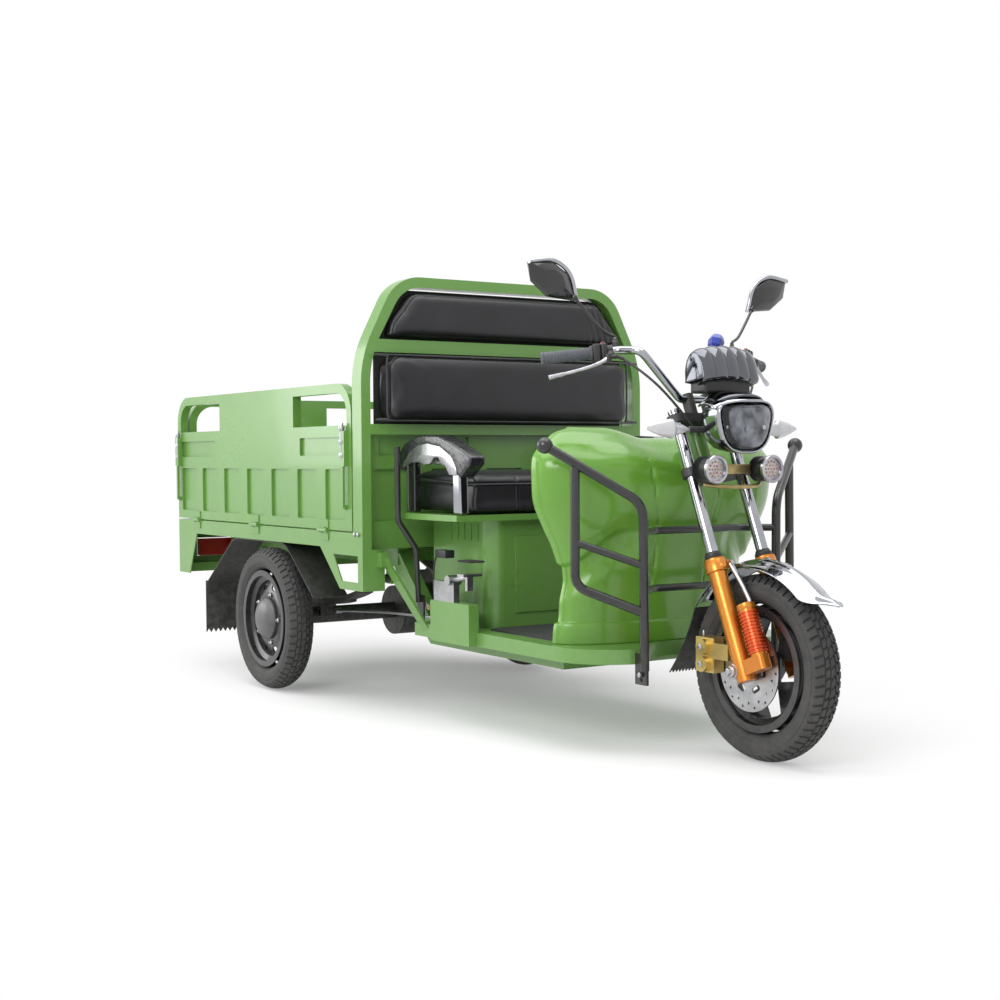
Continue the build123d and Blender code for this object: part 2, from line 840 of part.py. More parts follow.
mat_thickness = 5
with BuildPart() as floor_mat:
    with BuildSketch(Plane.XY.offset(floor_top)):
        with Locations(((at_x(seat_box_front) + 12 + at_x(1425)) / 2, 0)):
            RectangleRounded(at_x(1425) - at_x(seat_box_front) - 12, 620, 20)
    extrude(amount=mat_thickness)
    add_neck(neck_size + neck_play, Mode.SUBTRACT)
finish(floor_mat.part, "floor_mat")

with BuildPart() as chassis_frame:
    for side in (-1, 1):
        y = side * spring_y
        low_y = y * 0.8
        add_bar([(bed_rear + 60, y, rail_z), (at_x(580), y, rail_z)], 0, rail_width, rail_height)
        add_bar([(at_x(560), y, rail_z), (at_x(690), low_y, low_rail_z)], 0, rail_width, rail_height)
        add_bar([(at_x(670), low_y, low_rail_z), (at_x(1400), low_y, low_rail_z)], 0, rail_width, 40)
        for reach in (-eye_reach, eye_reach):
            for edge in (-1, 1):
                middle = y + edge * (leaf_width / 2 + 3)
                add_block(
                    (rear_x + reach - 20, middle - 3, eye_z - 18),
                    (rear_x + reach + 20, middle + 3, rail_z - 20),
                )
            hanger_half = leaf_width / 2 + 6
            add_block(
                (rear_x + reach - 20, y - hanger_half, rail_z - rail_height / 2 - 6),
                (rear_x + reach + 20, y + hanger_half, rail_z - 20),
            )
    for x in (bed_rear + 80, at_x(-380), at_x(380), at_x(550)):
        add_block((x - 20, -spring_y, rail_z - 20), (x + 20, spring_y, rail_z + 20))
    for x in (at_x(800), at_x(1380)):
        add_block((x - 20, -spring_y * 0.8, low_rail_z - 20), (x + 20, spring_y * 0.8, low_rail_z + 20))
    add_neck(neck_size)
    with BuildSketch(steering.offset(head_low)) as head_ring:
        Circle(head_radius)
    extrude(to_extrude=head_ring.sketch, amount=head_high - head_low)
    with BuildSketch(steering.offset(head_low)) as head_bore:
        Circle(stem_radius + stem_gap)
    extrude(to_extrude=head_bore.sketch, amount=head_high - head_low, mode=Mode.SUBTRACT)
finish(chassis_frame.part, "chassis_frame")

plate_y = rear_track / 2 - drum_width - 4
leaf_thickness = 8
saddle_top = axle_z + axle_tube_diameter / 2 + 10
with BuildPart() as rear_axle:
    with Locations(Location((rear_x, 0, axle_z), (90, 0, 0))):
        Cylinder(axle_tube_diameter / 2, 2 * plate_y)
        Cylinder(stub_radius, rear_track + 20)
        Cylinder(88, 96)
    for side in (-1, 1):
        with Locations(Location((rear_x, side * (plate_y - 3), axle_z), (90, 0, 0))):
            Cylinder(82, 6)
        add_block(
            (rear_x - 45, side * spring_y - 30, axle_z),
            (rear_x + 45, side * spring_y + 30, saddle_top),
        )
finish(rear_axle.part, "rear_axle")

with BuildPart() as drive_motor:
    with Locations(Location((rear_x + 30, 49 + motor_length / 2, axle_z), (90, 0, 0))):
        Cylinder(motor_diameter / 2, motor_length)
    with Locations(Location((rear_x, 49 + motor_length / 2, axle_z), (90, 0, 0))):
        Cylinder(axle_tube_diameter / 2 + 0.3, motor_length + 2, mode=Mode.SUBTRACT)
finish(drive_motor.part, "drive_motor")

leaf_rise = eye_z - saddle_top - 2.5 * leaf_thickness
leaf_radius = (eye_reach**2 + leaf_rise**2) / (2 * leaf_rise)
with BuildPart() as leaf_springs:
    for side in (-1, 1):
        y = side * spring_y + leaf_width / 2
        with BuildSketch(Plane.XZ.offset(-y)):
            for layer, half in enumerate((210, 330, eye_reach)):
                low = saddle_top + layer * leaf_thickness
                rise = leaf_radius - (leaf_radius**2 - half**2) ** 0.5
                with BuildLine():
                    ThreePointArc((rear_x - half, low + rise), (rear_x, low), (rear_x + half, low + rise))
                    Line((rear_x + half, low + rise), (rear_x + half, low + rise + leaf_thickness))
                    ThreePointArc(
                        (rear_x + half, low + rise + leaf_thickness),
                        (rear_x, low + leaf_thickness),
                        (rear_x - half, low + rise + leaf_thickness),
                    )
                    Line((rear_x - half, low + rise + leaf_thickness), (rear_x - half, low + rise))
                make_face()
            with Locations((rear_x - eye_reach, eye_z), (rear_x + eye_reach, eye_z)):
                Circle(14)
        extrude(amount=leaf_width)
finish(leaf_springs.part, "leaf_springs")

with BuildPart() as tail_lamps:
    for side in (-1, 1):
        add_block((bed_rear - 16, side * 395 - 73, 419), (bed_rear + 30, side * 395 + 73, 485))
finish(tail_lamps.part, "tail_lamps")

rubber_reach = tail_overhang - bed_rear_overhang
with BuildPart() as rear_buffers:
    for side in (-1, 1):
        middle = (bed_rear - rubber_reach / 2, side * 480, lamp_panel_bottom - bumper_height / 2)
        with Locations(Location(middle, (0, 90, 0))):
            Cylinder(16, rubber_reach)
finish(rear_buffers.part, "rear_buffers")

# Front cowl. Columns: height, half width at the back, half width and X of the nose, corner radius
cowl_sections = (
    (floor_top + 0.3, 345, 110, 1555, 50),
    (345, 325, 105, 1550, 50),
    (540, 331, 120, 1575, 65),
    (660, 395, 130, 1600, 75),
    (780, 410, 140, 1596, 75),
    (850, 352, 150, 1530, 34),
    (876, 290, 150, 1492, 16),
)
cowl_shoulder = 0.45


def cowl_outline(height, half, nose_half, nose_x, corner, inset, back):
    """One level section of the cowl, drawn in by inset and open at the back."""
    shoulder = at_x(cowl_rear + cowl_shoulder * (nose_x - cowl_rear))
    nose = at_x(nose_x) - inset
    with BuildSketch(Plane.XY.offset(height)) as section:
        with BuildLine() as line:
            FilletPolyline(
                (at_x(back), -half + inset),
                (shoulder, -half + inset),
                (nose, -nose_half),
                (nose, nose_half),
                (shoulder, half - inset),
                (at_x(back), half - inset),
                radius=corner,
            )
            Line((at_x(back), half - inset), (at_x(back), -half + inset))
        make_face(line.edges())
    return section.sketch


with BuildPart() as front_cowl:
    outer_sections = [cowl_outline(*row, 0, cowl_rear) for row in cowl_sections]
    loft(sections=outer_sections, ruled=True)
    inner_rows = [cowl_sections[0]]
    inner_rows += [(row[0] - cowl_wall, *row[1:]) for row in cowl_sections[1:]]
    inner_sections = [cowl_outline(*row, cowl_wall, cowl_rear - 20) for row in inner_rows]
    loft(sections=inner_sections, ruled=True, mode=Mode.SUBTRACT)
    add_neck(neck_size + neck_play, Mode.SUBTRACT)
finish(front_cowl.part, "front_cowl")

panel_inset = 8
with BuildPart() as cowl_inner_panel:
    with BuildSketch(Plane.YZ.offset(at_x(cowl_rear) - 4)):
        with BuildLine():
            outline = [(row[1] - panel_inset, row[0]) for row in cowl_sections]
            outline[0] = (outline[0][0], floor_top + mat_thickness + 1)
            Polyline(*outline, *[(-y, z) for y, z in reversed(outline)], close=True)
        make_face()
    extrude(amount=4)
    add_neck(neck_size + neck_play, Mode.SUBTRACT)
finish(cowl_inner_panel.part, "cowl_inner_panel")

# Crash bars round the cowl's front corners
bar_radius = 12.5
rung_radius = 10
knob = (at_x(1548), 448, 826)
bar_corner = (at_x(1694), 236, 672)
bar_foot = (at_x(1696), 233, floor_height - 14)
with BuildPart() as crash_bars:
    for side in (-1, 1):
        top = (knob[0], side * knob[1], knob[2])
        corner = (bar_corner[0], side * bar_corner[1], bar_corner[2])
        foot = (bar_foot[0], side * bar_foot[1], bar_foot[2])
        add_tube([top, corner, foot], 70, bar_radius)
        add_tube(
            [
                (at_x(1592), side * 382, 770),
                (at_x(1594), side * 384, 455),
                (at_x(1696), side * 234, 384),
            ],
            45,
            bar_radius,
        )
        add_tube([(at_x(1594), side * 384, 572), (at_x(1696), side * 234, 508)], 0, rung_radius)
        with Locations(top):
            Sphere(22)
        add_block(
            (pan_front + 0.2, foot[1] - 4, floor_height - 52),
            (foot[0] + 12, foot[1] + 4, floor_height + 30),
        )
        with Locations(Location((foot[0] - 8, foot[1], floor_height - 38), (90, 0, 0))):
            Cylinder(5.5, 20, mode=Mode.SUBTRACT)
    for height in (596, 440):
        add_tube(
            [
                (at_x(1695), -235, height),
                (at_x(1628), -150, height),
                (at_x(1628), 150, height),
                (at_x(1695), 235, height),
            ],
            50,
            rung_radius,
        )
finish(crash_bars.part, "crash_bars")

# Pedal and parking brake, both on the right
bracket_top = floor_height + 122
pedal_y = -pan_half - 14
with BuildPart() as brake_pedal:
    add_block((at_x(885), pedal_y - 8, bracket_top), (at_x(1000), pedal_y + 12, bracket_top + 60))
    with Locations(Location((at_x(985), pedal_y, bracket_top + 66), (90, 0, 0))):
        Cylinder(15, 44)
    add_tube([(at_x(985), pedal_y, bracket_top + 66), (at_x(1075), pedal_y, bracket_top + 80)], 0, 8)
    add_block((at_x(1056), pedal_y - 30, bracket_top + 82), (at_x(1092), pedal_y + 34, bracket_top + 90))
    add_block((at_x(1068), pedal_y - 10, bracket_top + 40), (at_x(1080), pedal_y + 10, bracket_top + 84))
finish(brake_pedal.part, "brake_pedal")

lever_x = at_x(762)
lever_radius = 9
with BuildPart() as parking_brake:
    add_tube(
        [
            (lever_x, -450, 830),
            (lever_x, -450, 604),
            (lever_x, -pan_half - 12, 516),
            (lever_x, -pan_half - 4, 350),
        ],
        40,
        lever_radius,
    )
    add_block((lever_x - 18, -pan_half + 2, floor_top), (lever_x + 18, -pan_half + 8, 372))
finish(parking_brake.part, "parking_brake")


# Front fork, along the raked axis. Columns of each row: forward, left, radius, low, high
def add_rods(rows, mode=Mode.ADD):
    for forward, left, radius, low, high in rows:
        with BuildSketch(steering.offset(low)) as section:
            with Locations((forward, left)):
                Circle(radius)
        extrude(to_extrude=section.sketch, amount=high - low, mode=mode)


# Handlebar. The right half's corners, mirrored for the left
bar_clamp = (at_x(1634), 62, 950)
bar_rise = (at_x(1628), 192, 1078)
bar_bend = (at_x(1560), 212, 1082)
bar_end = (at_x(1458), 392, 1060)
handle_radius = 11
with BuildPart() as handlebar:
    corners = [(bar_end, -1), (bar_bend, -1), (bar_rise, -1), (bar_clamp, -1)]
    corners += [(bar_clamp, 1), (bar_rise, 1), (bar_bend, 1), (bar_end, 1)]
    route = [(corner[0], side * corner[1], corner[2]) for corner, side in corners]
    add_tube(route, (26, 26, 30, 30, 26, 26), handle_radius)
finish(handlebar.part, "handlebar")

leg_y = leg_spacing / 2
upper_radius = upper_tube_diameter / 2
lower_radius = lower_tube_diameter / 2
clamp_forward = 43
clamp_up = 746
with BuildPart() as steering_stem:
    for low in (lower_crown, upper_crown):
        with BuildSketch(steering.offset(low)) as crown:
            make_hull(
                [
                    *Circle(30, mode=Mode.PRIVATE).edges(),
                    *(Pos(crown_offset, leg_y) * Circle(25, mode=Mode.PRIVATE)).edges(),
                    *(Pos(crown_offset, -leg_y) * Circle(25, mode=Mode.PRIVATE)).edges(),
                ]
            )
        extrude(to_extrude=crown.sketch, amount=crown_thickness)
    add_rods([(0, 0, stem_radius, lower_crown, upper_crown + crown_thickness + 12)])
    add_rods([(clamp_forward, side * 32, 17, upper_crown, clamp_up + 12) for side in (-1, 1)])
    add_rods(
        [(crown_offset, side * leg_y, upper_radius + 0.3, 0, 800) for side in (-1, 1)], Mode.SUBTRACT
    )
    with Locations(Location((bar_clamp[0], 0, bar_clamp[2]), (90, 0, 0))):
        Cylinder(handle_radius + 0.3, 110, mode=Mode.SUBTRACT)
finish(steering_stem.part, "steering_stem")

with BuildPart() as fork_uppers:
    for side in (-1, 1):
        add_rods(
            [
                (crown_offset, side * leg_y, upper_radius, lower_leg_top + 0.3, fork_top),
                (crown_offset, side * leg_y, upper_radius + 2, fork_top, fork_top + 8),
            ]
        )
finish(fork_uppers.part, "fork_uppers")

axle_up = -(front_x - steer_x) * sin(radians(rake))
reservoir_forward = crown_offset + 62
with BuildPart() as fork_lowers:
    for side in (-1, 1):
        add_rods(
            [
                (crown_offset, side * leg_y, lower_radius, axle_up - 34, lower_leg_top),
                (crown_offset, side * leg_y, lower_radius + 4, lower_leg_top - 26, lower_leg_top),
                (reservoir_forward, side * (leg_y - 8), 22, axle_up + 8, 142),
            ]
        )
        with BuildSketch(steering.offset(axle_up - 22)) as lug:
            with Locations((crown_offset + 34, side * (leg_y - 4))):
                RectangleRounded(108, 40, 14)
        extrude(to_extrude=lug.sketch, amount=38)
    with Locations(Location((front_x, 0, axle_z), (90, 0, 0))):
        Cylinder(axle_radius, 2 * leg_y + 66)
finish(fork_lowers.part, "fork_lowers")

with BuildPart() as brake_caliper:
    add_block((front_x - 164, -96, axle_z - 18), (front_x - 92, -45, axle_z + 74))
    add_block(
        (front_x - 118, disc_y - 5, axle_z - 40), (front_x + 10, disc_y + 5, axle_z + 90), mode=Mode.SUBTRACT
    )
    for up in (4, 50):
        with Locations(Location((front_x - 128, -100, axle_z + up), (90, 0, 0))):
            Cylinder(21, 20)
    add_block((front_x - 100, -96, axle_z + 20), (front_x - 38, -86, axle_z + 62))
finish(brake_caliper.part, "brake_caliper")

guard_half = 56
guard_start = 50
guard_end = 146
guard_tip = (front_x + front_overhang, axle_z + 175)


guard_shares = (-1, -0.6, 0, 0.6, 1)


def guard_section(plane, half, low, crown, sheet):
    """The mudguard's crowned sheet across the wheel, at one place along it."""
    with BuildSketch(plane) as section:
        with BuildLine() as line:
            upper = [(share * half, low + sheet + crown * (1 - share**2)) for share in guard_shares]
            lower = [(share * half, low + crown * (1 - share**2)) for share in reversed(guard_shares)]
            Polyline(*upper, *lower, close=True)
        make_face(line.edges())
    return section.sketch


with BuildPart() as front_mudguard:
    start = radians(guard_start)
    guard_low = mudguard_radius - 18
    start_plane = Plane(origin=(front_x, 0, axle_z), x_dir=(0, 1, 0), z_dir=(sin(start), 0, -cos(start)))
    wide = guard_section(start_plane, guard_half, guard_low, 22, 4)
    revolve(wide, axis=wheel_axis(front_x, 0), revolution_arc=guard_start - guard_end)
    tip_plane = Plane(origin=(guard_tip[0], 0, guard_tip[1]), x_dir=(0, 1, 0), z_dir=(cos(0.3), 0, -sin(0.3)))
    loft(sections=[wide, guard_section(tip_plane, 8, -4, 1, 4)])
finish(front_mudguard.part, "front_mudguard")

flap_top = (front_x - 220, axle_z + 143)
flap_low = (front_x - 330, axle_z - 46)
with BuildPart() as front_flap:
    add_bar([(flap_top[0], 0, flap_top[1]), (flap_low[0], 0, flap_low[1])], 0, 2 * guard_half - 8, 4)
finish(front_flap.part, "front_flap")

# Lamps and instrument hood on the fork. The headlamp narrows to its foot under a two-step brow
lamp_back = at_x(1738)
lamp_front = at_x(1828)
lamp_z = 885
lamp_high = 942
lamp_low = 806
lamp_half = 104
lens_high = 922
lens_gap = 0.3
lens_depth = 14


def lamp_outline(x, top_half, low_half, low, high, corner):
    """The headlamp's outline at one place along it, narrower at the foot."""
    with BuildSketch(Plane.YZ.offset(x)) as face:
        with BuildLine() as line:
            FilletPolyline(
                (-low_half, low), (-top_half, high - 30), (-top_half + 18, high),
                (top_half - 18, high), (top_half, high - 30), (low_half, low),
                close=True,
                radius=corner,
            )
        make_face(line.edges())
    return face.sketch


with BuildPart() as headlamp_shell:
    loft(
        sections=[
            lamp_outline(lamp_back, 66, 50, lamp_low + 24, lamp_high - 8, 14),
            lamp_outline(lamp_front, lamp_half, 78, lamp_low, lamp_high, 14),
        ],
        ruled=True,
    )
    recess = lamp_outline(lamp_front - lens_depth, lamp_half - 10, 70, lamp_low + 10, lens_high, 12)
    extrude(to_extrude=recess, amount=lens_depth, mode=Mode.SUBTRACT)
    for low, high, reach in ((lens_high + 2, lamp_high + 4, 34), (lamp_high + 4, lamp_high + 14, 16)):
        with BuildSketch(Plane.XY.offset(low)) as brow:
            with BuildLine():
                Line((lamp_back + 20, lamp_half - 4), (lamp_back + 20, -lamp_half + 4))
                Line((lamp_back + 20, -lamp_half + 4), (lamp_front - 8, -lamp_half + 4))
                ThreePointArc(
                    (lamp_front - 8, -lamp_half + 4), (lamp_front + reach, 0), (lamp_front - 8, lamp_half - 4)
                )
                Line((lamp_front - 8, lamp_half - 4), (lamp_back + 20, lamp_half - 4))
            make_face()
        extrude(to_extrude=brow.sketch, amount=high - low)
    add_block((at_x(1682), -30, lamp_z - 11), (lamp_back, 30, lamp_z + 11))
finish(headlamp_shell.part, "headlamp_shell")

with BuildPart() as headlamp_lens:
    glass = lamp_outline(
        lamp_front - lens_depth + lens_gap,
        lamp_half - 10 - lens_gap,
        70 - lens_gap,
        lamp_low + 10 + lens_gap,
        lens_high - lens_gap,
        12,
    )
    extrude(to_extrude=glass, amount=lens_depth + 8)
    chamfer(headlamp_lens.edges().group_by(Axis.X)[-1], 7)
finish(headlamp_lens.part, "headlamp_lens")

# Columns of each rib: place across in pitches, drop of its crown
hood_ribs = ((-2, 30), (-1, 8), (0, 0), (1, 8), (2, 30))
hood_pitch = 39
hood_back = at_x(1692)
hood_front = at_x(1786)
hood_low = 966
hood_high = 1092
with BuildPart() as instrument_visor:
    for place, drop in hood_ribs:
        with BuildSketch(Plane.XZ.offset(-(place + 0.5) * hood_pitch - 1)) as rib:
            with BuildLine() as line:
                Line((hood_back, hood_low), (hood_back, hood_high - 30 - drop))
                ThreePointArc(
                    (hood_back, hood_high - 30 - drop),
                    (hood_back + 24, hood_high - drop),
                    (hood_back + 58, hood_high - 24 - drop),
                )
                Polyline(
                    (hood_back + 58, hood_high - 24 - drop),
                    (hood_front - drop / 2, hood_low + 48),
                    (hood_front - 8 - drop / 2, hood_low + 30),
                    (hood_back + 20, hood_low),
                    (hood_back, hood_low),
                )
            make_face(line.edges())
        extrude(to_extrude=rib.sketch, amount=hood_pitch + 2)
    chamfer(instrument_visor.edges().filter_by(Plane.XZ).group_by(Axis.Y)[0], 6)
    chamfer(instrument_visor.edges().filter_by(Plane.XZ).group_by(Axis.Y)[-1], 6)
    add_block((at_x(1696), -20, lamp_z + 11), (at_x(1712), 20, hood_low + 2))
finish(instrument_visor.part, "instrument_visor")

spot_x = at_x(1825)
spot_y = 98
spot_z = 762
with BuildPart() as spot_lamps:
    for side in (-1, 1):
        with Locations(Location((spot_x - 30, side * spot_y, spot_z), (0, 90, 0))):
            Cylinder(38, 60)
    add_block((at_x(1741), -spot_y, spot_z - 10), (spot_x - 50, spot_y, spot_z + 10))
finish(spot_lamps.part, "spot_lamps")

signal_z = 866
with BuildPart() as turn_signals:
    for side in (-1, 1):
        add_tube([(at_x(1756), side * 74, signal_z), (at_x(1754), side * 130, signal_z)], 0, 7)
        with BuildLine() as stalk:
            Line((at_x(1754), side * 128, signal_z), (at_x(1742), side * 266, signal_z - 6))
        sections = []
        for place, half in ((0, 14), (0.3, 25), (0.65, 20), (1, 5)):
            with BuildSketch(Plane(stalk.line @ place, z_dir=stalk.line % 0)) as section:
                Circle(half)
            sections.append(section.sketch)
        loft(sections=sections, ruled=True)
finish(turn_signals.part, "turn_signals")


def along_grip(side, distance):
    """A point on the handlebar's end run, measured from its bend."""
    start = Vector(bar_bend[0], side * bar_bend[1], bar_bend[2])
    end = Vector(bar_end[0], side * bar_end[1], bar_end[2])
    return start + (end - start).normalized() * distance


grip_start = 78
grip_end = 212
grip_radius = 16
bar_run = (Vector(*bar_end) - Vector(*bar_bend)).length
with BuildPart() as grips:
    for side in (-1, 1):
        add_tube([along_grip(side, grip_start), along_grip(side, grip_end)], 0, grip_radius)
        add_tube([along_grip(side, grip_start - 4), along_grip(side, grip_start)], 0, grip_radius + 4)
    for side in (-1, 1):
        add_tube(
            [along_grip(side, grip_start - 5), along_grip(side, bar_run + 0.3)],
            0,
            handle_radius + 0.3,
            mode=Mode.SUBTRACT,
        )
finish(grips.part, "grips")

perch_radius = 17
with BuildPart() as handlebar_controls:
    for side in (-1, 1):
        add_tube([along_grip(side, 34), along_grip(side, 72)], 0, 23)
        perch = along_grip(side, 30)
        tip = along_grip(side, 208)
        add_tube([along_grip(side, 18), along_grip(side, 33)], 0, perch_radius)
        add_tube([perch + Vector(14, 0, -8), perch + Vector(34, side * 24, -20)], 0, 9)
        add_tube(
            [
                perch + Vector(34, side * 24, -20),
                along_grip(side, 90) + Vector(44, 0, -34),
                tip + Vector(30, 0, -52),
            ],
            30,
            5,
        )
    for side in (-1, 1):
        add_tube(
            [along_grip(side, 6), along_grip(side, 74)], 0, handle_radius + 0.3, mode=Mode.SUBTRACT
        )
finish(handlebar_controls.part, "handlebar_controls")

# Mirrors. The outline is the right one's, in Y and Z, mirrored for the left
mirror_outline = ((461, 1312), (385, 1320), (322, 1284), (310, 1214), (398, 1222), (450, 1262))
mirror_back = at_x(1484)
mirror_depth = 26
with BuildPart() as mirrors:
    for side in (-1, 1):
        foot = along_grip(side, 25)
        seat = foot.Z + perch_radius + 1.5
        add_tube([(foot.X, foot.Y, seat), (foot.X, foot.Y, seat + 15)], 0, 9)
        add_tube([(foot.X, foot.Y, seat + 9), (mirror_back + 20, side * 322, 1226)], 0, 5)
        with BuildSketch(Plane.YZ.offset(mirror_back)) as housing:
            with BuildLine() as line:
                FilletPolyline(
                    *[(side * y, z) for y, z in mirror_outline], close=True, radius=(8, 30, 14, 8, 20, 24)
                )
            make_face(line.edges())
        extrude(to_extrude=housing.sketch, amount=mirror_depth, taper=14)
finish(mirrors.part, "mirrors")

cable_radius = 3.5
with BuildPart() as control_cables:
    for side in (-1, 1):
        add_tube(
            [
                (at_x(1590), side * 222, 1058),
                (at_x(1660), side * 190, 1010),
                (at_x(1694), side * 120, 930),
                (at_x(1716), side * 60, 850),
            ],
            40,
            cable_radius,
        )
finish(control_cables.part, "control_cables")
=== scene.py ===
from math import cos, pi, radians, sin

import bmesh
import bpy
from mathutils import Matrix, Vector


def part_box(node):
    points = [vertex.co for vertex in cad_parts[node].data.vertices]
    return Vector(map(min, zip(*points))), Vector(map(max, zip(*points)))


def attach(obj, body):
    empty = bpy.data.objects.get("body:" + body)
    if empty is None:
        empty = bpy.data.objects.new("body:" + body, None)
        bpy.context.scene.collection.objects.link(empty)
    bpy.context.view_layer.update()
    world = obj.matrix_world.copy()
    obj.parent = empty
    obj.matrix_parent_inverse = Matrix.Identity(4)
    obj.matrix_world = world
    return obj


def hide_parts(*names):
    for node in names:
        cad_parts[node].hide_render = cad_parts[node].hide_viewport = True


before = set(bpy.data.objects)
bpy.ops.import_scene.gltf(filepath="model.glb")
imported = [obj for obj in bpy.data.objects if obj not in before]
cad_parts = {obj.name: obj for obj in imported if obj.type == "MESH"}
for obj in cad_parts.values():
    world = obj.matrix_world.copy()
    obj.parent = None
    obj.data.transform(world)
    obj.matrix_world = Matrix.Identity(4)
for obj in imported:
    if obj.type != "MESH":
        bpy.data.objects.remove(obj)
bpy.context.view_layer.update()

REAR_X = -0.6655
FRONT_X = 1.2395
AXLE_Z = 0.245
RAKE = radians(22.5)
STEER_X = FRONT_X + 0.016 - 0.040 / cos(RAKE)
SIDES = (("right", -1), ("left", 1))


def at_x(distance):
    """The X of a place given from the rear axle, in metres."""
    return REAR_X + distance


def at(ahead, left, up):
    """A place in millimetres, ahead of the rear axle, to the left of the middle and above the ground."""
    return REAR_X + ahead / 1000, left / 1000, up / 1000


# Materials
def add_node(tree, kind, *inputs, **settings):
    """A shader node with some settings, and some inputs by name or place, each linked or set to a constant."""
    made = tree.nodes.new("ShaderNode" + kind)
    for name, value in settings.items():
        setattr(made, name, value)
    for socket, value in inputs:
        if isinstance(value, bpy.types.NodeSocket):
            tree.links.new(value, made.inputs[socket])
        else:
            made.inputs[socket].default_value = value
    return made


def noise(tree, coords, scale, detail=4, rough=0.55):
    made = add_node(tree, "TexNoise", ("Scale", scale), ("Detail", detail), ("Roughness", rough), ("Vector", coords))
    return made.outputs["Fac"]


def ramp(tree, value, low, high, first, second):
    """Value between low and high turned into a blend from first to second."""
    return add_node(
        tree, "MapRange", ("From Min", low), ("From Max", high), ("To Min", first), ("To Max", second), ("Value", value)
    ).outputs["Result"]


def maths(tree, operation, first, second):
    return add_node(tree, "Math", (0, first), (1, second), operation=operation).outputs[0]


def mix_colour(tree, factor, first, second):
    made = add_node(tree, "Mix", data_type="RGBA")
    tree.links.new(factor, made.inputs["Factor"])
    for socket, colour in (("A", first), ("B", second)):
        target = [s for s in made.inputs if s.name == socket and s.type == "RGBA"][0]
        if isinstance(colour, tuple):
            target.default_value = (*colour, 1)
        else:
            tree.links.new(colour, target)
    return [s for s in made.outputs if s.type == "RGBA"][0]


def material(name, colour, second, rough=(0.3, 0.45), metal=0.0, coat=0.0, patch_scale=6.0, grain_scale=250.0,
             grain=0.05, height=0.001, dust=0.0):
    """A surface whose colour and roughness vary in patches, with fine grain in its relief and dust below."""
    made = bpy.data.materials.new(name)
    made.use_nodes = True
    tree = made.node_tree
    shader = tree.nodes["Principled BSDF"]
    coords = add_node(tree, "TexCoord").outputs["Object"]
    patches = noise(tree, coords, patch_scale, 6, 0.6)
    tint = mix_colour(tree, ramp(tree, patches, 0.35, 0.65, 0, 1), colour, second)
    if dust:
        place = add_node(tree, "SeparateXYZ", (0, coords))
        low = ramp(tree, place.outputs["Z"], 0.75, 0.15, 0, dust)
        fine = ramp(tree, noise(tree, coords, 40, 6, 0.7), 0.4, 0.75, 0, 1)
        tint = mix_colour(tree, maths(tree, "MULTIPLY", low, fine), tint, (0.30, 0.28, 0.24))
    relief = noise(tree, coords, grain_scale, 3)
    bump = add_node(tree, "Bump", ("Strength", grain), ("Distance", height), ("Height", relief))
    for socket, value in (("Metallic", metal), ("Coat Weight", coat), ("Coat Roughness", 0.08)):
        shader.inputs[socket].default_value = value
    tree.links.new(tint, shader.inputs["Base Color"])
    tree.links.new(ramp(tree, patches, 0.3, 0.7, *rough), shader.inputs["Roughness"])
    tree.links.new(bump.outputs["Normal"], shader.inputs["Normal"])
    return made


GREEN = material(
    "green_paint", (0.125, 0.285, 0.055), (0.115, 0.262, 0.052), rough=(0.26, 0.36), coat=0.35,
    patch_scale=3, grain_scale=90, grain=0.06, dust=0.18,
)
BED_GREEN = material(
    "bed_paint", (0.125, 0.285, 0.055), (0.105, 0.240, 0.048), rough=(0.55, 0.70), patch_scale=4, grain_scale=90,
    grain=0.10, dust=0.18,
)
BLACK_PAINT = material(
    "black_paint", (0.012, 0.012, 0.013), (0.020, 0.020, 0.021), rough=(0.22, 0.4), coat=0.3,
    grain_scale=120, grain=0.05, dust=0.10,
)
FRAME_BLACK = material(
    "frame_paint", (0.02, 0.02, 0.021), (0.045, 0.043, 0.04), rough=(0.4, 0.65), dust=0.3, grain=0.12
)
RUBBER = material(
    "tyre_rubber", (0.030, 0.030, 0.031), (0.050, 0.049, 0.047), rough=(0.62, 0.82), dust=0.10,
    patch_scale=18, grain_scale=600, grain=0.2,
)
FLAP = material("flap_rubber", (0.012, 0.012, 0.012), (0.03, 0.03, 0.03), rough=(0.5, 0.75), grain=0.2, dust=0.25)
VINYL = material(
    "black_vinyl", (0.010, 0.010, 0.012), (0.016, 0.015, 0.018), rough=(0.34, 0.48), patch_scale=9,
    grain_scale=420, grain=0.35, height=0.0008,
)
PLASTIC = material("black_plastic", (0.012, 0.012, 0.013), (0.022, 0.022, 0.023), rough=(0.3, 0.5), grain_scale=500,
                   grain=0.12)
GLOSS = material("gloss_plastic", (0.008, 0.008, 0.009), (0.012, 0.012, 0.013), rough=(0.08, 0.16), coat=0.5,
                 grain=0.02)
CHROME = material(
    "chrome", (0.46, 0.47, 0.50), (0.36, 0.37, 0.40), rough=(0.05, 0.14), metal=1, grain_scale=60, grain=0.03
)
STEEL = material("bright_steel", (0.50, 0.50, 0.51), (0.36, 0.36, 0.37), rough=(0.25, 0.45), metal=1, patch_scale=30)
GREY_METAL = material("grey_metal", (0.16, 0.16, 0.165), (0.11, 0.11, 0.112), rough=(0.35, 0.55), metal=0.6, dust=0.2)
ORANGE = material("orange_anodised", (0.68, 0.25, 0.035), (0.56, 0.18, 0.02), rough=(0.22, 0.36), metal=0.7, coat=0.2)
GOLD = material("gold_anodised", (0.62, 0.47, 0.17), (0.48, 0.35, 0.11), rough=(0.25, 0.42), metal=0.8)
MAT = material("floor_mat", (0.018, 0.018, 0.02), (0.03, 0.03, 0.032), rough=(0.5, 0.7), grain_scale=300, grain=0.3)
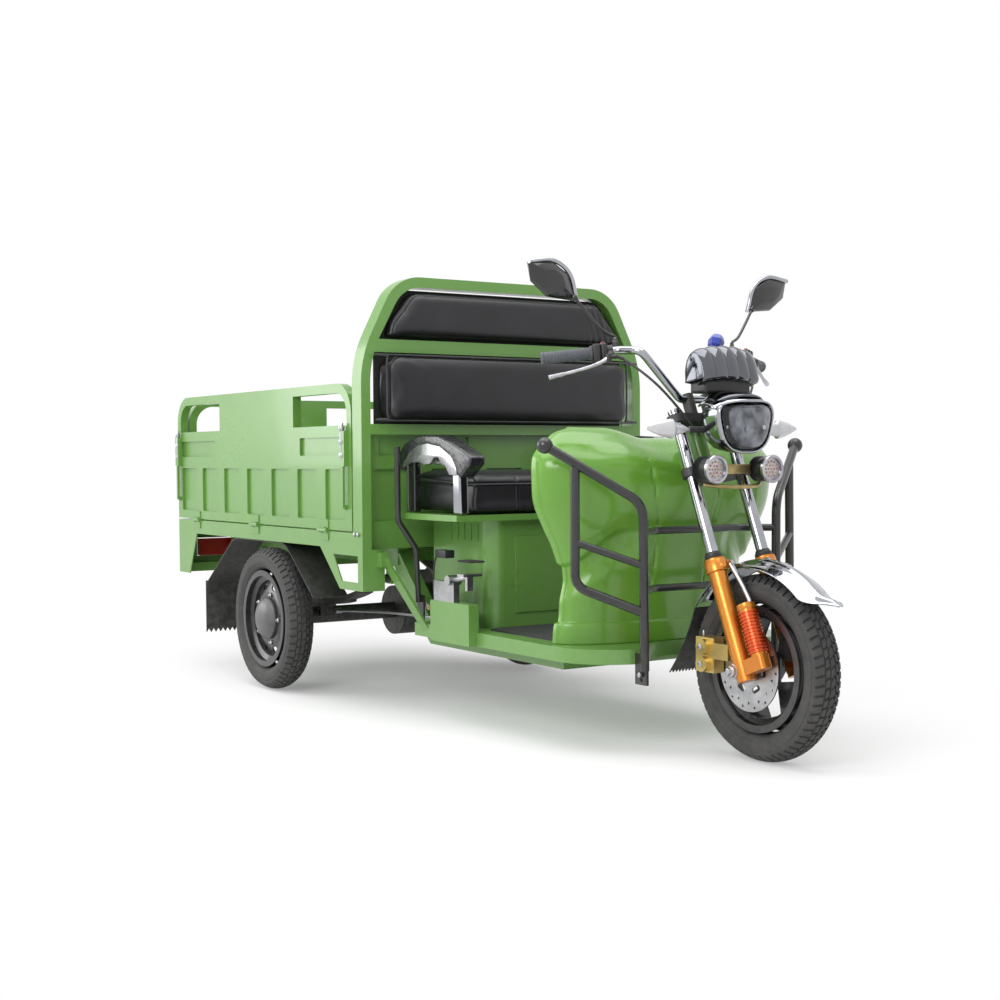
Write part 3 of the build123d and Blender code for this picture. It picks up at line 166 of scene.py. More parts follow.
SIGNAL = material("signal_lens", (0.62, 0.62, 0.64), (0.5, 0.5, 0.52), rough=(0.08, 0.16), metal=0.3, coat=0.5,
                  grain=0.02)
RED = material("red_lens", (0.35, 0.012, 0.010), (0.22, 0.008, 0.008), rough=(0.1, 0.2), coat=0.6, grain=0.02)
BLUE = material("blue_plastic", (0.02, 0.05, 0.42), (0.015, 0.04, 0.30), rough=(0.15, 0.3), coat=0.4)
GLASS = material("lamp_glass", (0.96, 0.97, 0.98), (0.90, 0.92, 0.94), rough=(0.0, 0.03), grain=0.004)
GLASS.node_tree.nodes["Principled BSDF"].inputs["Transmission Weight"].default_value = 1.0
MIRROR = material("mirror_glass", (0.75, 0.78, 0.80), (0.7, 0.73, 0.75), rough=(0.02, 0.05), metal=1, grain=0.01)

SHOWN = (
    (GREEN, "gate_right gate_left tailgate bed_frame bed_bulkhead seat_hoop seat_box floor_pan chassis_frame"),
    (BED_GREEN, "bed_floor"), (BLACK_PAINT, "front_rim rear_right_rim rear_left_rim crash_bars parking_brake"),
    (FRAME_BLACK, "rear_axle drive_motor leaf_springs steering_stem"),
    (FLAP, "rear_mudguards rear_buffers"), (STEEL, "brake_disc brake_pedal"), (PLASTIC, "battery_pack"),
    (MAT, "floor_mat"), (RED, "tail_lamps"), (CHROME, "handlebar fork_uppers"), (ORANGE, "fork_lowers"),
    (GOLD, "brake_caliper"),
)
for look, solids in SHOWN:
    for solid in solids.split():
        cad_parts[solid].data.materials.clear()
        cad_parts[solid].data.materials.append(look)


# Building blocks: each shape is a pair of vertices and faces
def strip_faces(rows, columns, wrap_rows=False, wrap_columns=False):
    faces = []
    for row in range(rows if wrap_rows else rows - 1):
        for column in range(columns if wrap_columns else columns - 1):
            below, beside = (row + 1) % rows, (column + 1) % columns
            faces.append(
                (row * columns + column, row * columns + beside, below * columns + beside, below * columns + column)
            )
    return faces


def surface(rows, wrap=False, capped=False):
    """A sheet through rows of points; wrap joins each row's ends and capped closes the first and last row."""
    count = len(rows[0])
    faces = strip_faces(len(rows), count, False, wrap)
    if capped:
        faces += [tuple(range(count))[::-1], tuple(range(count * (len(rows) - 1), count * len(rows)))]
    return [tuple(p) for row in rows for p in row], faces


def block(low, high):
    (x0, y0, z0), (x1, y1, z1) = low, high
    verts = [(x, y, z) for x in (x0, x1) for y in (y0, y1) for z in (z0, z1)]
    return verts, [(0, 1, 3, 2), (4, 6, 7, 5), (0, 4, 5, 1), (2, 3, 7, 6), (0, 2, 6, 4), (1, 5, 7, 3)]


def hermite(start, end, rise, fall, t):
    """A smooth way from start to end: rise and fall are its slopes at either end."""
    t2, t3 = t**2, t**3
    return (2 * t3 - 3 * t2 + 1) * start + (t3 - 2 * t2 + t) * rise + (3 * t2 - 2 * t3) * end + (t3 - t2) * fall


def rounded_path(points, steps=6):
    """A smooth line through the points."""
    points = [Vector(p) for p in points]
    if len(points) < 3:
        return points
    ends = [2 * points[0] - points[1], *points, 2 * points[-1] - points[-2]]
    line = [
        hermite(start, end, (end - before) / 2, (after - start) / 2, step / steps)
        for before, start, end, after in zip(ends, ends[1:], ends[2:], ends[3:]) for step in range(steps)
    ]
    return [*line, points[-1]]


def tube(points, radius, sides=12, steps=6, closed=False):
    """A round tube on a smooth line; radius is one number in millimetres, or several along the line."""
    line = rounded_path(points, steps)
    radii = radius if isinstance(radius, (list, tuple)) else [radius] * len(line)
    verts = []
    across = None
    for index, place in enumerate(line):
        before = line[max(index - 1, 0)]
        after = line[min(index + 1, len(line) - 1)]
        along = (after - before).normalized()
        if across is None:
            across = along.orthogonal().normalized()
        across = (across - along * across.dot(along)).normalized()
        beside = along.cross(across)
        size = radii[round(index * (len(radii) - 1) / (len(line) - 1))] / 1000
        for side in range(sides):
            angle = 2 * pi * side / sides
            verts.append(tuple(place + size * (cos(angle) * across + sin(angle) * beside)))
    faces = strip_faces(len(line), sides, closed, True)
    if not closed:
        faces += [tuple(range(sides))[::-1], tuple(range(len(verts) - sides, len(verts)))]
    return verts, faces


def turned(profile, centre, axis, segments=32):
    """A profile of (along, radius), in millimetres, turned about an axis through a centre in metres."""
    along = Vector(axis).normalized()
    across = along.orthogonal().normalized()
    beside = along.cross(across)
    centre = Vector(centre)
    verts = []
    for reach, radius in profile:
        for step in range(segments):
            angle = 2 * pi * step / segments
            out = cos(angle) * across + sin(angle) * beside
            verts.append(tuple(centre + along * (reach / 1000) + out * (radius / 1000)))
    faces = strip_faces(len(profile), segments, False, True)
    faces += [tuple(range(segments))[::-1], tuple(range(len(verts) - segments, len(verts)))]
    return verts, faces


def prism(outline, low, high, plane="XZ"):
    """An outline drawn on a plane and thickened from low to high across it."""
    place = {"XZ": lambda u, v, w: (u, w, v), "YZ": lambda u, v, w: (w, u, v), "XY": lambda u, v, w: (u, v, w)}[plane]
    count = len(outline)
    verts = [place(u, v, w) for w in (low, high) for u, v in outline]
    faces = [tuple(range(count)), tuple(range(count, 2 * count))[::-1]]
    faces += [(i, (i + 1) % count, (i + 1) % count + count, i + count) for i in range(count)]
    return verts, faces


def build(name, shapes, look, body="steering", node=None, bevel=0, smooth=40, segments=2):
    """One piece from several shapes, its edges rounded by bevel in millimetres, on a body, standing for a node."""
    verts, faces = [], []
    for shape_verts, shape_faces in shapes:
        start = len(verts)
        verts += shape_verts
        faces += [tuple(start + i for i in face) for face in shape_faces]
    mesh = bpy.data.meshes.new(name)
    mesh.from_pydata(verts, [], faces)
    work = bmesh.new()
    work.from_mesh(mesh)
    bmesh.ops.recalc_face_normals(work, faces=work.faces)
    if bevel:
        sharp = [e for e in work.edges if e.is_manifold and e.calc_face_angle(0) > radians(25)]
        bmesh.ops.bevel(work, geom=sharp, offset=bevel / 1000, segments=segments, profile=0.6, affect="EDGES",
                        clamp_overlap=True)
    work.to_mesh(mesh)
    work.free()
    mesh.materials.append(look)
    mesh.polygons.foreach_set("use_smooth", [True] * len(mesh.polygons))
    mesh.set_sharp_from_angle(angle=radians(smooth))
    made = bpy.data.objects.new(name, mesh)
    bpy.context.collection.objects.link(made)
    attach(made, body)
    if node:
        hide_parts(node)
    return made


def thicken(piece, thickness):
    """A sheet given a thickness inward from its face."""
    thick = piece.modifiers.new("thick", "SOLIDIFY")
    thick.thickness = thickness
    thick.offset = -1


def ease(value, low, high):
    """0 below low, 1 above high, smooth between."""
    share = min(max((value - low) / (high - low), 0), 1)
    return share * share * (3 - 2 * share)


# Tyres: a lathed section whose tread is cut by rings and by grooves across the shoulders
TYRE_SIDE = (
    (0.0235, 0.1690), (0.0330, 0.1745), (0.0400, 0.1830), (0.0432, 0.1905), (0.0446, 0.1915), (0.0452, 0.1985),
    (0.0458, 0.1995), (0.0459, 0.2060), (0.0456, 0.2130), (0.0444, 0.2138), (0.0440, 0.2190), (0.0446, 0.2200),
    (0.0436, 0.2245),
)
TREAD_ACROSS = (
    0.0420, 0.0410, 0.0370, 0.0320, 0.0270, 0.0240, 0.0232, 0.0208, 0.0200, 0.0150, 0.0106, 0.0098, 0.0074, 0.0066,
    0.0030,
)
PITCH_STEPS = (0.0, 0.17, 0.20, 0.42, 0.45, 0.66, 0.69, 0.93, 0.96)


def tread_cut(across, step, deep):
    """How deep the tread is cut at a place across the tyre and along one pitch."""
    if 0.0074 <= across <= 0.0098 or 0.0208 <= across <= 0.0232:
        return deep
    if across > 0.0235 and 0.69 <= step <= 0.93:
        return deep * (0.55 if across > 0.041 else 1)
    if 0.0100 < across < 0.0206 and 0.20 <= step <= 0.42:
        return deep * 0.85
    if across < 0.0070 and 0.69 <= step <= 0.93:
        return deep * 0.5
    return 0


def make_tyre(name, node, body, centre, pitches, lean):
    rows = []
    outer = 0.2445
    half = [(a, r, None) for a, r in TYRE_SIDE]
    half += [(a, outer - 0.0165 * (a / 0.042) ** 2.2, a) for a in TREAD_ACROSS]
    section = [(a, r, t, 1) for a, r, t in half] + [(0.0, outer, 0.0, 1)]
    section += [(-a, r, t, -1) for a, r, t in reversed(half)]
    verts = []
    steps = [(pitch + share, share) for pitch in range(pitches) for share in PITCH_STEPS]
    for along, radius, tread, hand in section:
        for place, share in steps:
            slant = lean * abs(along) / 0.042
            angle = 2 * pi * (place + slant + (0.5 if hand < 0 else 0) * min(abs(along) / 0.012, 1)) / pitches
            cut = tread_cut(tread, share, 0.0055) if tread is not None else 0
            if tread is None and radius > 0.2235 and 0.69 <= share <= 0.93:
                cut = 0.0012
            verts.append((
                centre[0] + (radius - cut) * sin(angle), centre[1] + along, centre[2] + (radius - cut) * cos(angle)
            ))
    columns = len(steps)
    shape = (verts, strip_faces(len(section), columns, False, True))
    return build(name, [shape], RUBBER, body, node, smooth=28)


make_tyre("front_tyre_tread", "front_tyre", "front_wheel", (FRONT_X, 0, AXLE_Z), 60, 0.55)
make_tyre("rear_right_tyre_tread", "rear_right_tyre", "rear_wheel_right", (REAR_X, -0.52, AXLE_Z), 56, 0.30)
make_tyre("rear_left_tyre_tread", "rear_left_tyre", "rear_wheel_left", (REAR_X, 0.52, AXLE_Z), 56, 0.30)


# Padded pieces: a pad is filled as cloth under pressure, its back held, then drawn in along its seams
def fill_pad(piece, cap, held):
    start = [v.co.copy() for v in piece.data.vertices]
    group = piece.vertex_groups.new(name="held")
    group.add([i for i, place in enumerate(start) if held(place)], 1.0, "REPLACE")
    cloth = piece.modifiers.new("cloth", "CLOTH")
    cloth.settings.vertex_group_mass = "held"
    cloth.settings.use_pressure = True
    cloth.settings.uniform_pressure_force = 4
    cloth.settings.effector_weights.gravity = 0
    cloth.settings.quality = 4
    cloth.point_cache.frame_start = 1
    cloth.point_cache.frame_end = 20
    for step in range(1, 21):
        bpy.context.scene.frame_set(step)
    filled = piece.evaluated_get(bpy.context.evaluated_depsgraph_get()).data
    ends = [v.co.copy() for v in filled.vertices]
    piece.modifiers.remove(cloth)
    piece.vertex_groups.remove(group)
    for vertex, first, last in zip(piece.data.vertices, start, ends):
        move = last - first
        if move.length > cap:
            move *= cap / move.length
        vertex.co = first + move
    bpy.context.scene.frame_set(1)


def remesh(piece, size, smoothing):
    voxels = piece.modifiers.new("voxels", "REMESH")
    voxels.mode = "VOXEL"
    voxels.voxel_size = size
    voxels.use_smooth_shade = True
    relax = piece.modifiers.new("relax", "SMOOTH")
    relax.iterations = smoothing
    apply_all(piece)


def apply_all(piece):
    shaped = bpy.data.meshes.new_from_object(piece.evaluated_get(bpy.context.evaluated_depsgraph_get()))
    piece.modifiers.clear()
    old = piece.data
    piece.data = shaped
    bpy.data.meshes.remove(old)


def make_pad(name, node, shape, held, crown, seams, voxel=0.008, cap=0.006):
    """A cushion: a filled pad, crowned by crown(place), with a groove where seams(place) is small."""
    piece = build(name, [shape], VINYL, "chassis", node, bevel=8, segments=3)
    bpy.context.view_layer.update()
    remesh(piece, voxel, 4)
    fill_pad(piece, cap, held)
    relax = piece.modifiers.new("relax", "SMOOTH")
    relax.iterations = 5
    finer = piece.modifiers.new("finer", "SUBSURF")
    finer.levels = finer.render_levels = 1
    bpy.context.view_layer.update()
    apply_all(piece)
    places = [v.co.copy() for v in piece.data.vertices]
    normals = [v.normal.copy() for v in piece.data.vertices]
    for vertex, place, normal in zip(piece.data.vertices, places, normals):
        groove = 0.006 * max(0, 1 - seams(place) / 0.006) ** 1.5
        vertex.co = place + normal * (crown(place) - groove)
    if not piece.data.materials:
        piece.data.materials.append(VINYL)
    piece.data.polygons.foreach_set("use_smooth", [True] * len(piece.data.polygons))
    return piece


def inner_box(node, shrink):
    low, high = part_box(node)
    return [l + s for l, s in zip(low, shrink)], [h - s for h, s in zip(high, shrink)]


def crease(place, low, high, freq):
    """Short folds in the vinyl near an end."""
    return 0.0018 * sin(freq * (place[1] + 0.35 * place[2])) * ease(place[1], low, high)


lower, higher = inner_box("back_cushion_lower", (0.004, 0.003, 0.003))
lower_face = higher[0]
make_pad(
    "lower_back_pad", "back_cushion_lower",
    prism(
        [(lower[1] + 0.02, lower[2]), (higher[1] - 0.02, lower[2]), (higher[1], lower[2] + 0.02),
         (higher[1], higher[2] - 0.03), (higher[1] - 0.03, higher[2]), (lower[1] + 0.03, higher[2]),
         (lower[1], higher[2] - 0.03), (lower[1], lower[2] + 0.02)],
        lower[0], higher[0], "YZ",
    ),
    lambda p: p.x < lower[0] + 0.012,
    lambda p: 0,
    lambda p: abs(p.x - (lower_face - 0.012)),
)
u_low, u_high = inner_box("back_cushion_upper", (0.004, 0.003, 0.002))
make_pad(
    "upper_back_pad", "back_cushion_upper",
    prism(
        [(u_low[1], u_low[2]), (u_high[1], u_low[2]), (u_high[1] - 0.012, u_low[2] + 0.045),
         (u_high[1] - 0.078, u_high[2] - 0.012), (u_high[1] - 0.105, u_high[2]),
         (u_low[1] + 0.105, u_high[2]), (u_low[1] + 0.078, u_high[2] - 0.012), (u_low[1] + 0.012, u_low[2] + 0.045)],
        u_low[0], u_high[0], "YZ",
    ),
    lambda p: p.x < u_low[0] + 0.012,
    lambda p: crease(p, 0.28, 0.36, 260) if p.x > u_high[0] - 0.02 else 0,
    lambda p: abs(p.x - (u_high[0] - 0.010)),
    cap=0.005,
)
s_low, s_high = inner_box("seat_cushion", (0.006, 0.008, 0.006))
make_pad(
    "seat_pad", "seat_cushion",
    prism(
        [(s_low[0], s_low[2]), (s_high[0], s_low[2]), (s_high[0], s_high[2] - 0.030),
         (s_high[0] - 0.012, s_high[2] - 0.010), (s_high[0] - 0.12, s_high[2] - 0.004), (s_low[0], s_high[2])],
        s_low[1], s_high[1], "XZ",
    ),
    lambda p: p.z < s_low[2] + 0.012,
    lambda p: 0,
    lambda p: min(abs(p.z - (s_high[2] - 0.034)), abs(abs(p.y) - 0.205) if p.x > s_high[0] - 0.02 else 1),
)


# Front cowl: a smooth shell with cheeks over a scooped waist, a saddle between them and a step at its foot
# Columns: height, half width, X of the nose from the rear axle
COWL_ROWS = (
    (0.2850, 0.345, 1.555), (0.3400, 0.338, 1.552), (0.3450, 0.326, 1.546), (0.4200, 0.322, 1.552),
    (0.5400, 0.336, 1.574), (0.6000, 0.366, 1.590), (0.6600, 0.395, 1.600), (0.7300, 0.408, 1.602),
    (0.7850, 0.408, 1.594), (0.8250, 0.384, 1.562), (0.8500, 0.356, 1.528), (0.8660, 0.328, 1.504),
    (0.8740, 0.296, 1.484),
)
COWL_REAR = 1.436


def between(rows, value):
    """The columns of a table at a value of its first one, along smooth lines."""
    for index, (first, second) in enumerate(zip(rows, rows[1:])):
        if value <= second[0] or index == len(rows) - 2:
            before = rows[max(index - 1, 0)]
            after = rows[min(index + 2, len(rows) - 1)]
            gap = second[0] - first[0]
            return [
                hermite(a, b, (b - low) / (second[0] - before[0]) * gap, (high - a) / (after[0] - first[0]) * gap,
                        (value - first[0]) / gap)
                for low, a, b, high in zip(before[1:], first[1:], second[1:], after[1:])
            ]


def cowl_point(height, share):
    """A place on the cowl: share runs from -1 at the right rear edge over the nose to 1."""
    half, nose = between(COWL_ROWS, height)
    angle = share * pi / 2
    power = 0.93
    y = half * (abs(sin(angle)) ** power) * (1 if share > 0 else -1)
    reach = cos(angle) ** power
    x = COWL_REAR + (nose - COWL_REAR) * reach
    out = Vector((cos(angle) / max(nose - COWL_REAR, 0.05), sin(angle) / half, 0)).normalized()
    side = abs(y)
    cheek = ease(side, 0.13, 0.20) * (1 - ease(side, 0.40, 0.415))
    lip = 0.600 - 0.10 * ease(side, 0.20, 0.34)
    scoop = ease(height, lip - 0.115, lip - 0.040) * (1 - ease(height, lip - 0.012, lip + 0.006))
    swell = ease(height, lip, lip + 0.05) * (1 - ease(height, 0.76, 0.86))
    crack = max(0, 1 - abs(side - 0.112 - 0.02 * sin(9 * height)) / 0.006)
    crack *= ease(height, 0.40, 0.46) * (1 - ease(height, 0.78, 0.83))
    edge = ease(abs(share), 0.905, 0.93)
    move = -0.016 * scoop * cheek + 0.007 * swell * cheek - 0.006 * crack + 0.0035 * edge
    saddle = 0.030 * (1 - ease(side, 0.05, 0.20)) * ease(height, 0.70, 0.874)
    return Vector((at_x(x), y, height - saddle)) + out * move


def make_cowl():
    heights = [0.2853 + (0.874 - 0.2853) * i / 150 for i in range(151)]
    heights += [0.3395, 0.3405, 0.3445, 0.3455]
    heights.sort()
    shares = [-1 + 2 * i / 160 for i in range(161)]
    rows = [[cowl_point(h, s) for s in shares] for h in heights]
    top = rows[-1]
    for step in (0.30, 0.62, 0.85, 1.0):
        rows.append([
            Vector((p.x + (at_x(COWL_REAR) - p.x) * step, p.y * (1 - 0.02 * step), p.z + 0.004 * (1 - (1 - step) ** 2)))
            for p in top
        ])
    thicken(build("cowl_shell", [surface(rows)], COWL_GREEN, "chassis", "front_cowl"), 0.003)


COWL_GREEN = material(
    "cowl_paint", (0.128, 0.318, 0.032), (0.116, 0.290, 0.030), rough=(0.22, 0.30), coat=0.25,
    patch_scale=3, grain_scale=80, grain=0.03, dust=0.12,
)
make_cowl()
side_line = [cowl_point(0.2860 + (0.874 - 0.2860) * i / 60, 1) for i in range(61)]
top_line = [cowl_point(0.874, 1 - 2 * i / 60) for i in range(1, 60)]
back_line = [(p.y * 0.985, p.z - 0.001) for p in side_line] + [(p.y * 0.96, p.z + 0.001) for p in top_line]
back_line += [(-p.y * 0.985, p.z - 0.001) for p in side_line[::-1]]
build("cowl_back", [prism(back_line, at_x(COWL_REAR) - 0.001, at_x(COWL_REAR) + 0.003, "YZ")], PLASTIC, "chassis",
      "cowl_inner_panel")


# Armrests: textured pads over polished side plates, on a chrome post in front and a dark one behind
ARM_OUTER = (
    (0.724, 0.760), (0.719, 0.802), (0.751, 0.832), (0.800, 0.856), (0.879, 0.864), (0.966, 0.860),
    (1.034, 0.841), (1.101, 0.817), (1.146, 0.797), (1.141, 0.776), (1.111, 0.756), (1.080, 0.735),
)
ARM_INNER = (
    (1.062, 0.762), (1.034, 0.798), (0.970, 0.826), (0.900, 0.836), (0.840, 0.830), (0.790, 0.808), (0.756, 0.780),
    (0.750, 0.760),
)
ARM_ARCH = (
    (1.067, 0.745), (1.022, 0.745), (1.002, 0.770), (0.978, 0.776), (0.960, 0.796), (0.935, 0.796), (0.915, 0.778),
    (0.880, 0.774), (0.846, 0.782), (0.799, 0.780), (0.766, 0.772),
)
BOARD = material("seat_board", (0.010, 0.012, 0.010), (0.022, 0.026, 0.018), rough=(0.6, 0.8), grain=0.3)
BRUSHED = material(
    "polished_plate", (0.55, 0.54, 0.57), (0.34, 0.33, 0.36), rough=(0.16, 0.34), metal=0.9, patch_scale=22,
    grain_scale=180, grain=0.12, height=0.0015,
)
PAD = material(
    "arm_pad", (0.011, 0.011, 0.014), (0.020, 0.020, 0.024), rough=(0.16, 0.34), coat=0.5, patch_scale=30,
    grain_scale=75, grain=0.9, height=0.004,
)
tray = 0.6298
for hand, side in SIDES:
    middle = side * 0.400
    rim = [(at_x(x), z) for x, z in (*ARM_OUTER, *ARM_INNER)]
    plate_top = [(at_x(x), z + 0.006) for x, z in ARM_INNER[::-1]]
    plate = [*plate_top, *[(at_x(x), z) for x, z in ARM_ARCH]]
    build(f"arm_pad_{hand}", [prism(rim, middle - 0.027, middle + 0.027)], PAD, "chassis", "armrests",
          bevel=9, segments=4)
    build(f"arm_plate_{hand}", [
        prism(plate, middle + side * 0.012, middle + side * 0.025),
        prism(plate, middle - side * 0.025, middle - side * 0.012),
    ], BRUSHED, "chassis", bevel=3)
    build(f"arm_post_front_{hand}", [
        prism([(at_x(1.024), 0.750), (at_x(1.066), 0.750), (at_x(1.071), tray), (at_x(1.027), tray)],
              middle - 0.016, middle + 0.016)
    ], CHROME, "chassis", bevel=9, segments=4)
    build(f"arm_post_rear_{hand}", [
        prism([(at_x(0.757), 0.785), (at_x(0.799), 0.785), (at_x(0.799), tray), (at_x(0.757), tray)],
              middle - 0.012, middle + 0.012),
    ], GLOSS, "chassis", bevel=5, segments=3)
    build(f"arm_post_edge_{hand}", [
        block((at_x(0.7535), middle - 0.014, tray), (at_x(0.7605), middle + 0.014, 0.782)),
    ], CHROME, "chassis", bevel=2)


# Mirrors: chrome hoods over dark faceted backs, seen from the front, with glass behind
MIRROR_EDGE = ((0.461, 1.311), (0.385, 1.318), (0.330, 1.286), (0.306, 1.214), (0.398, 1.222), (0.450, 1.260))
for hand, side in SIDES:
    back = at_x(1.486)
    centre = (sum(y for y, z in MIRROR_EDGE) / 6, sum(z for y, z in MIRROR_EDGE) / 6)
    edge = [(side * y, z) for y, z in MIRROR_EDGE]
    hull = []
    for scale, reach in ((1.0, 0.0), (1.0, 0.006), (0.90, 0.014), (0.45, 0.027)):
        hull += [
            (back + reach, side * (centre[0] + (y - centre[0]) * scale), centre[1] + (z - centre[1]) * scale)
            for y, z in MIRROR_EDGE
        ]
    faces = strip_faces(4, 6, False, True) + [tuple(range(6))[::-1], tuple(range(18, 24))]
    build(f"mirror_back_{hand}", [(hull, faces)], GLOSS, node="mirrors", bevel=2)
    hood = [(side * y, z) for y, z in MIRROR_EDGE[:4]]
    ring = [Vector((back + 0.012, *p)) for p in hood]
    build(f"mirror_trim_{hand}", [tube(ring, 6.2, 10)], CHROME)
    pane = [(side * (centre[0] + (y - centre[0]) * 0.93), centre[1] + (z - centre[1]) * 0.93) for y, z in MIRROR_EDGE]
    build(f"mirror_pane_{hand}", [prism(pane, back - 0.0015, back + 0.001, "YZ")], MIRROR)
    foot = Vector(at(1539.5, side * 209, 1096))
    knee = Vector(at(1505, side * 318, 1222))
    build(f"mirror_stalk_{hand}", [
        tube([foot, foot + Vector((0, 0, 0.022)), foot.lerp(knee, 0.35), knee], 4.2, 12),
        turned([(-12, 9), (10, 9), (13, 6), (22, 5)], foot, (0, 0, 1), 6),
        turned([(-6, 8), (6, 8), (10, 4)], knee, (0.1, side * 0.6, 0.7), 16),
    ], BLACK_PAINT)

# Boards that the back cushions are upholstered on
for name, node in (("lower", "back_cushion_lower"), ("upper", "back_cushion_upper")):
    low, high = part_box(node)
    grow = 0.010
    if name == "lower":
        outline = [(low[1] - grow, low[2] - grow), (high[1] + grow, low[2] - grow), (high[1] + grow, high[2] + grow),
                   (low[1] - grow, high[2] + grow)]
    else:
        edge = ((0.456, low[2] - grow), (0.450, 1.195), (0.420, 1.262), (0.402, 1.292), (0.378, 1.314),
                (0.350, high[2] + 0.006))
        outline = [*edge, *[(-y, z) for y, z in edge[::-1]]]
    build(f"back_board_{name}", [prism(outline, low[0] - 0.001, low[0] + 0.008, "YZ")], BOARD, "chassis", bevel=2)


# Fork, lamps and bar. Places on the fork are given ahead of the steering axis, to the left and up along it
def on_fork(forward, left, up):
    return Vector((STEER_X + forward * cos(RAKE) - up * sin(RAKE), left, AXLE_Z + forward * sin(RAKE) + up * cos(RAKE)))


FORK_UP = (-sin(RAKE), 0, cos(RAKE))
FORK_FORWARD = Vector((cos(RAKE), 0, sin(RAKE)))
LEG_Y = 0.088
AXLE_UP = -0.0104
SPRING = material("fork_fins", (0.72, 0.10, 0.015), (0.55, 0.06, 0.010), rough=(0.2, 0.35), metal=0.6, coat=0.3)
BRASS = material("brass", (0.46, 0.36, 0.16), (0.30, 0.24, 0.10), rough=(0.3, 0.5), metal=0.85, patch_scale=40)
SMOKED = material("reflector", (0.26, 0.27, 0.30), (0.03, 0.033, 0.038), rough=(0.05, 0.12), metal=1, patch_scale=26)
SPOT_LED = material("spot_led", (0.30, 0.05, 0.03), (0.45, 0.38, 0.20), rough=(0.1, 0.2), coat=0.5, patch_scale=150)
DARK_CHROME = material(
    "dark_chrome", (0.13, 0.135, 0.15), (0.09, 0.095, 0.105), rough=(0.06, 0.16), metal=1, coat=0.4, grain=0.02
)
GRIP = material("grip_rubber", (0.105, 0.115, 0.130), (0.070, 0.075, 0.085), rough=(0.45, 0.6), grain=0.3)

for hand, side in SIDES:
    y = side * LEG_Y
    build(f"fork_seal_{hand}", [
        turned([(0, 21), (3, 23.5), (12, 23.5), (15, 20.5), (20, 19.5), (21, 17)],
               on_fork(0.040, y, 0.285), FORK_UP, 32),
    ], PLASTIC)
    build(f"fork_collar_{hand}", [
        turned([(-36, 24.5), (-33, 29), (-6, 29.5), (-3, 27.5), (1, 27),
                (1.5, 24.5)], on_fork(0.040, y, 0.285), FORK_UP, 40),
        turned([(-10, 12), (4, 12), (10, 6)], on_fork(0.062, y, 0.262), FORK_FORWARD, 16),
    ], ORANGE)
    fins = []
    for step in range(13):
        low = 12 + 8.8 * step
        fins += [(low, 22.5), (low + 1, 26.2), (low + 4.4, 26.2), (low + 5.4, 22.5)]
    build(f"reservoir_fins_{hand}", [turned(fins, on_fork(0.102, side * 0.080, 0), FORK_UP, 32)], SPRING)
    build(f"reservoir_cap_{hand}", [
        turned([(128, 23.5), (132, 25), (143, 24), (145.5, 18), (147, 9)],
               on_fork(0.102, side * 0.080, 0), FORK_UP, 32),
    ], ORANGE)
    build(f"axle_nut_{hand}", [
        turned([(0, 20), (3, 20), (4, 16), (13, 15.5), (15, 10), (24, 9)],
               (FRONT_X, side * 0.108, AXLE_Z), (0, side, 0), 6),
    ], STEEL, bevel=1)
    build(f"guard_stay_{hand}", [
        tube([on_fork(0.072, side * 0.066, 0.262), on_fork(0.088, side * 0.060, 0.200),
              on_fork(0.098, side * 0.058, 0.150)],
             7.5, 12),
        turned([(-5, 12), (5, 12)], on_fork(0.070, side * 0.066, 0.264), (0, 1, 0), 20),
    ], CHROME)


def guard_point(place, across):
    """A point of the front mudguard: place runs from its rear end at 0 over the top to its tip at 1."""
    low = 0.254
    if place < 0.72:
        angle = radians(146 - 96 * place / 0.72)
        centre = Vector((FRONT_X + low * cos(angle), 0, AXLE_Z + low * sin(angle)))
        out = Vector((cos(angle), 0, sin(angle)))
        half, crown = 0.056, 0.022
    else:
        share = (place - 0.72) / 0.28
        angle = radians(50)
        start = Vector((FRONT_X + low * cos(angle), 0, AXLE_Z + low * sin(angle)))
        end = Vector((FRONT_X + 0.266, 0, AXLE_Z + 0.176))
        pull = (end - start).length
        first = Vector((sin(angle), 0, -cos(angle))) * pull
        last = Vector((cos(0.3), 0, -sin(0.3))) * pull
        centre = hermite(start, end, first, last, share)
        out = Vector((cos(angle), 0, sin(angle))).lerp(Vector((sin(0.3), 0, cos(0.3))), share).normalized()
        half = 0.056 * (1 - share**1.7) + 0.006 * share
        crown = 0.022 * (1 - share) + 0.003
    side = abs(across)
    ridge = 0.0035 * (1 - ease(side, 0.13, 0.24)) * ease(place, 0.0, 0.03)
    roll = 0.003 * ease(side, 0.90, 0.97)
    rise = 0.004 + crown * (1 - side**2) + ridge + roll
    return centre + out * rise + Vector((0, across * half, 0))


rows = [[guard_point(i / 110, -1 + 2 * j / 40) for j in range(41)] for i in range(111)]
thicken(build("mudguard_shell", [surface(rows)], CHROME, node="front_mudguard"), 0.002)
build("mudguard_fixings", [
    shape for side in (-1, 1) for shape in (
        turned([(0, 9), (3, 9), (4, 5)], (FRONT_X - 0.060, side * 0.030, AXLE_Z + 0.268), (-0.2, 0, 1), 16),
        turned([(0, 9), (3, 9), (4, 5)], (FRONT_X + 0.040, side * 0.030, AXLE_Z + 0.270), (0.15, 0, 1), 16),
    )
] + [block((FRONT_X - 0.070, -0.045, AXLE_Z + 0.262), (FRONT_X + 0.050, 0.045, AXLE_Z + 0.269))], STEEL,
    bevel=1.5)


# Grips, switch boxes and levers
BAR_BEND = (0.8945, 0.212, 1.082)
BAR_END = (0.7925, 0.392, 1.060)


def along_bar(side, distance):
    start = Vector((BAR_BEND[0], side * BAR_BEND[1], BAR_BEND[2]))
    end = Vector((BAR_END[0], side * BAR_END[1], BAR_END[2]))
    return start + (end - start).normalized() * distance


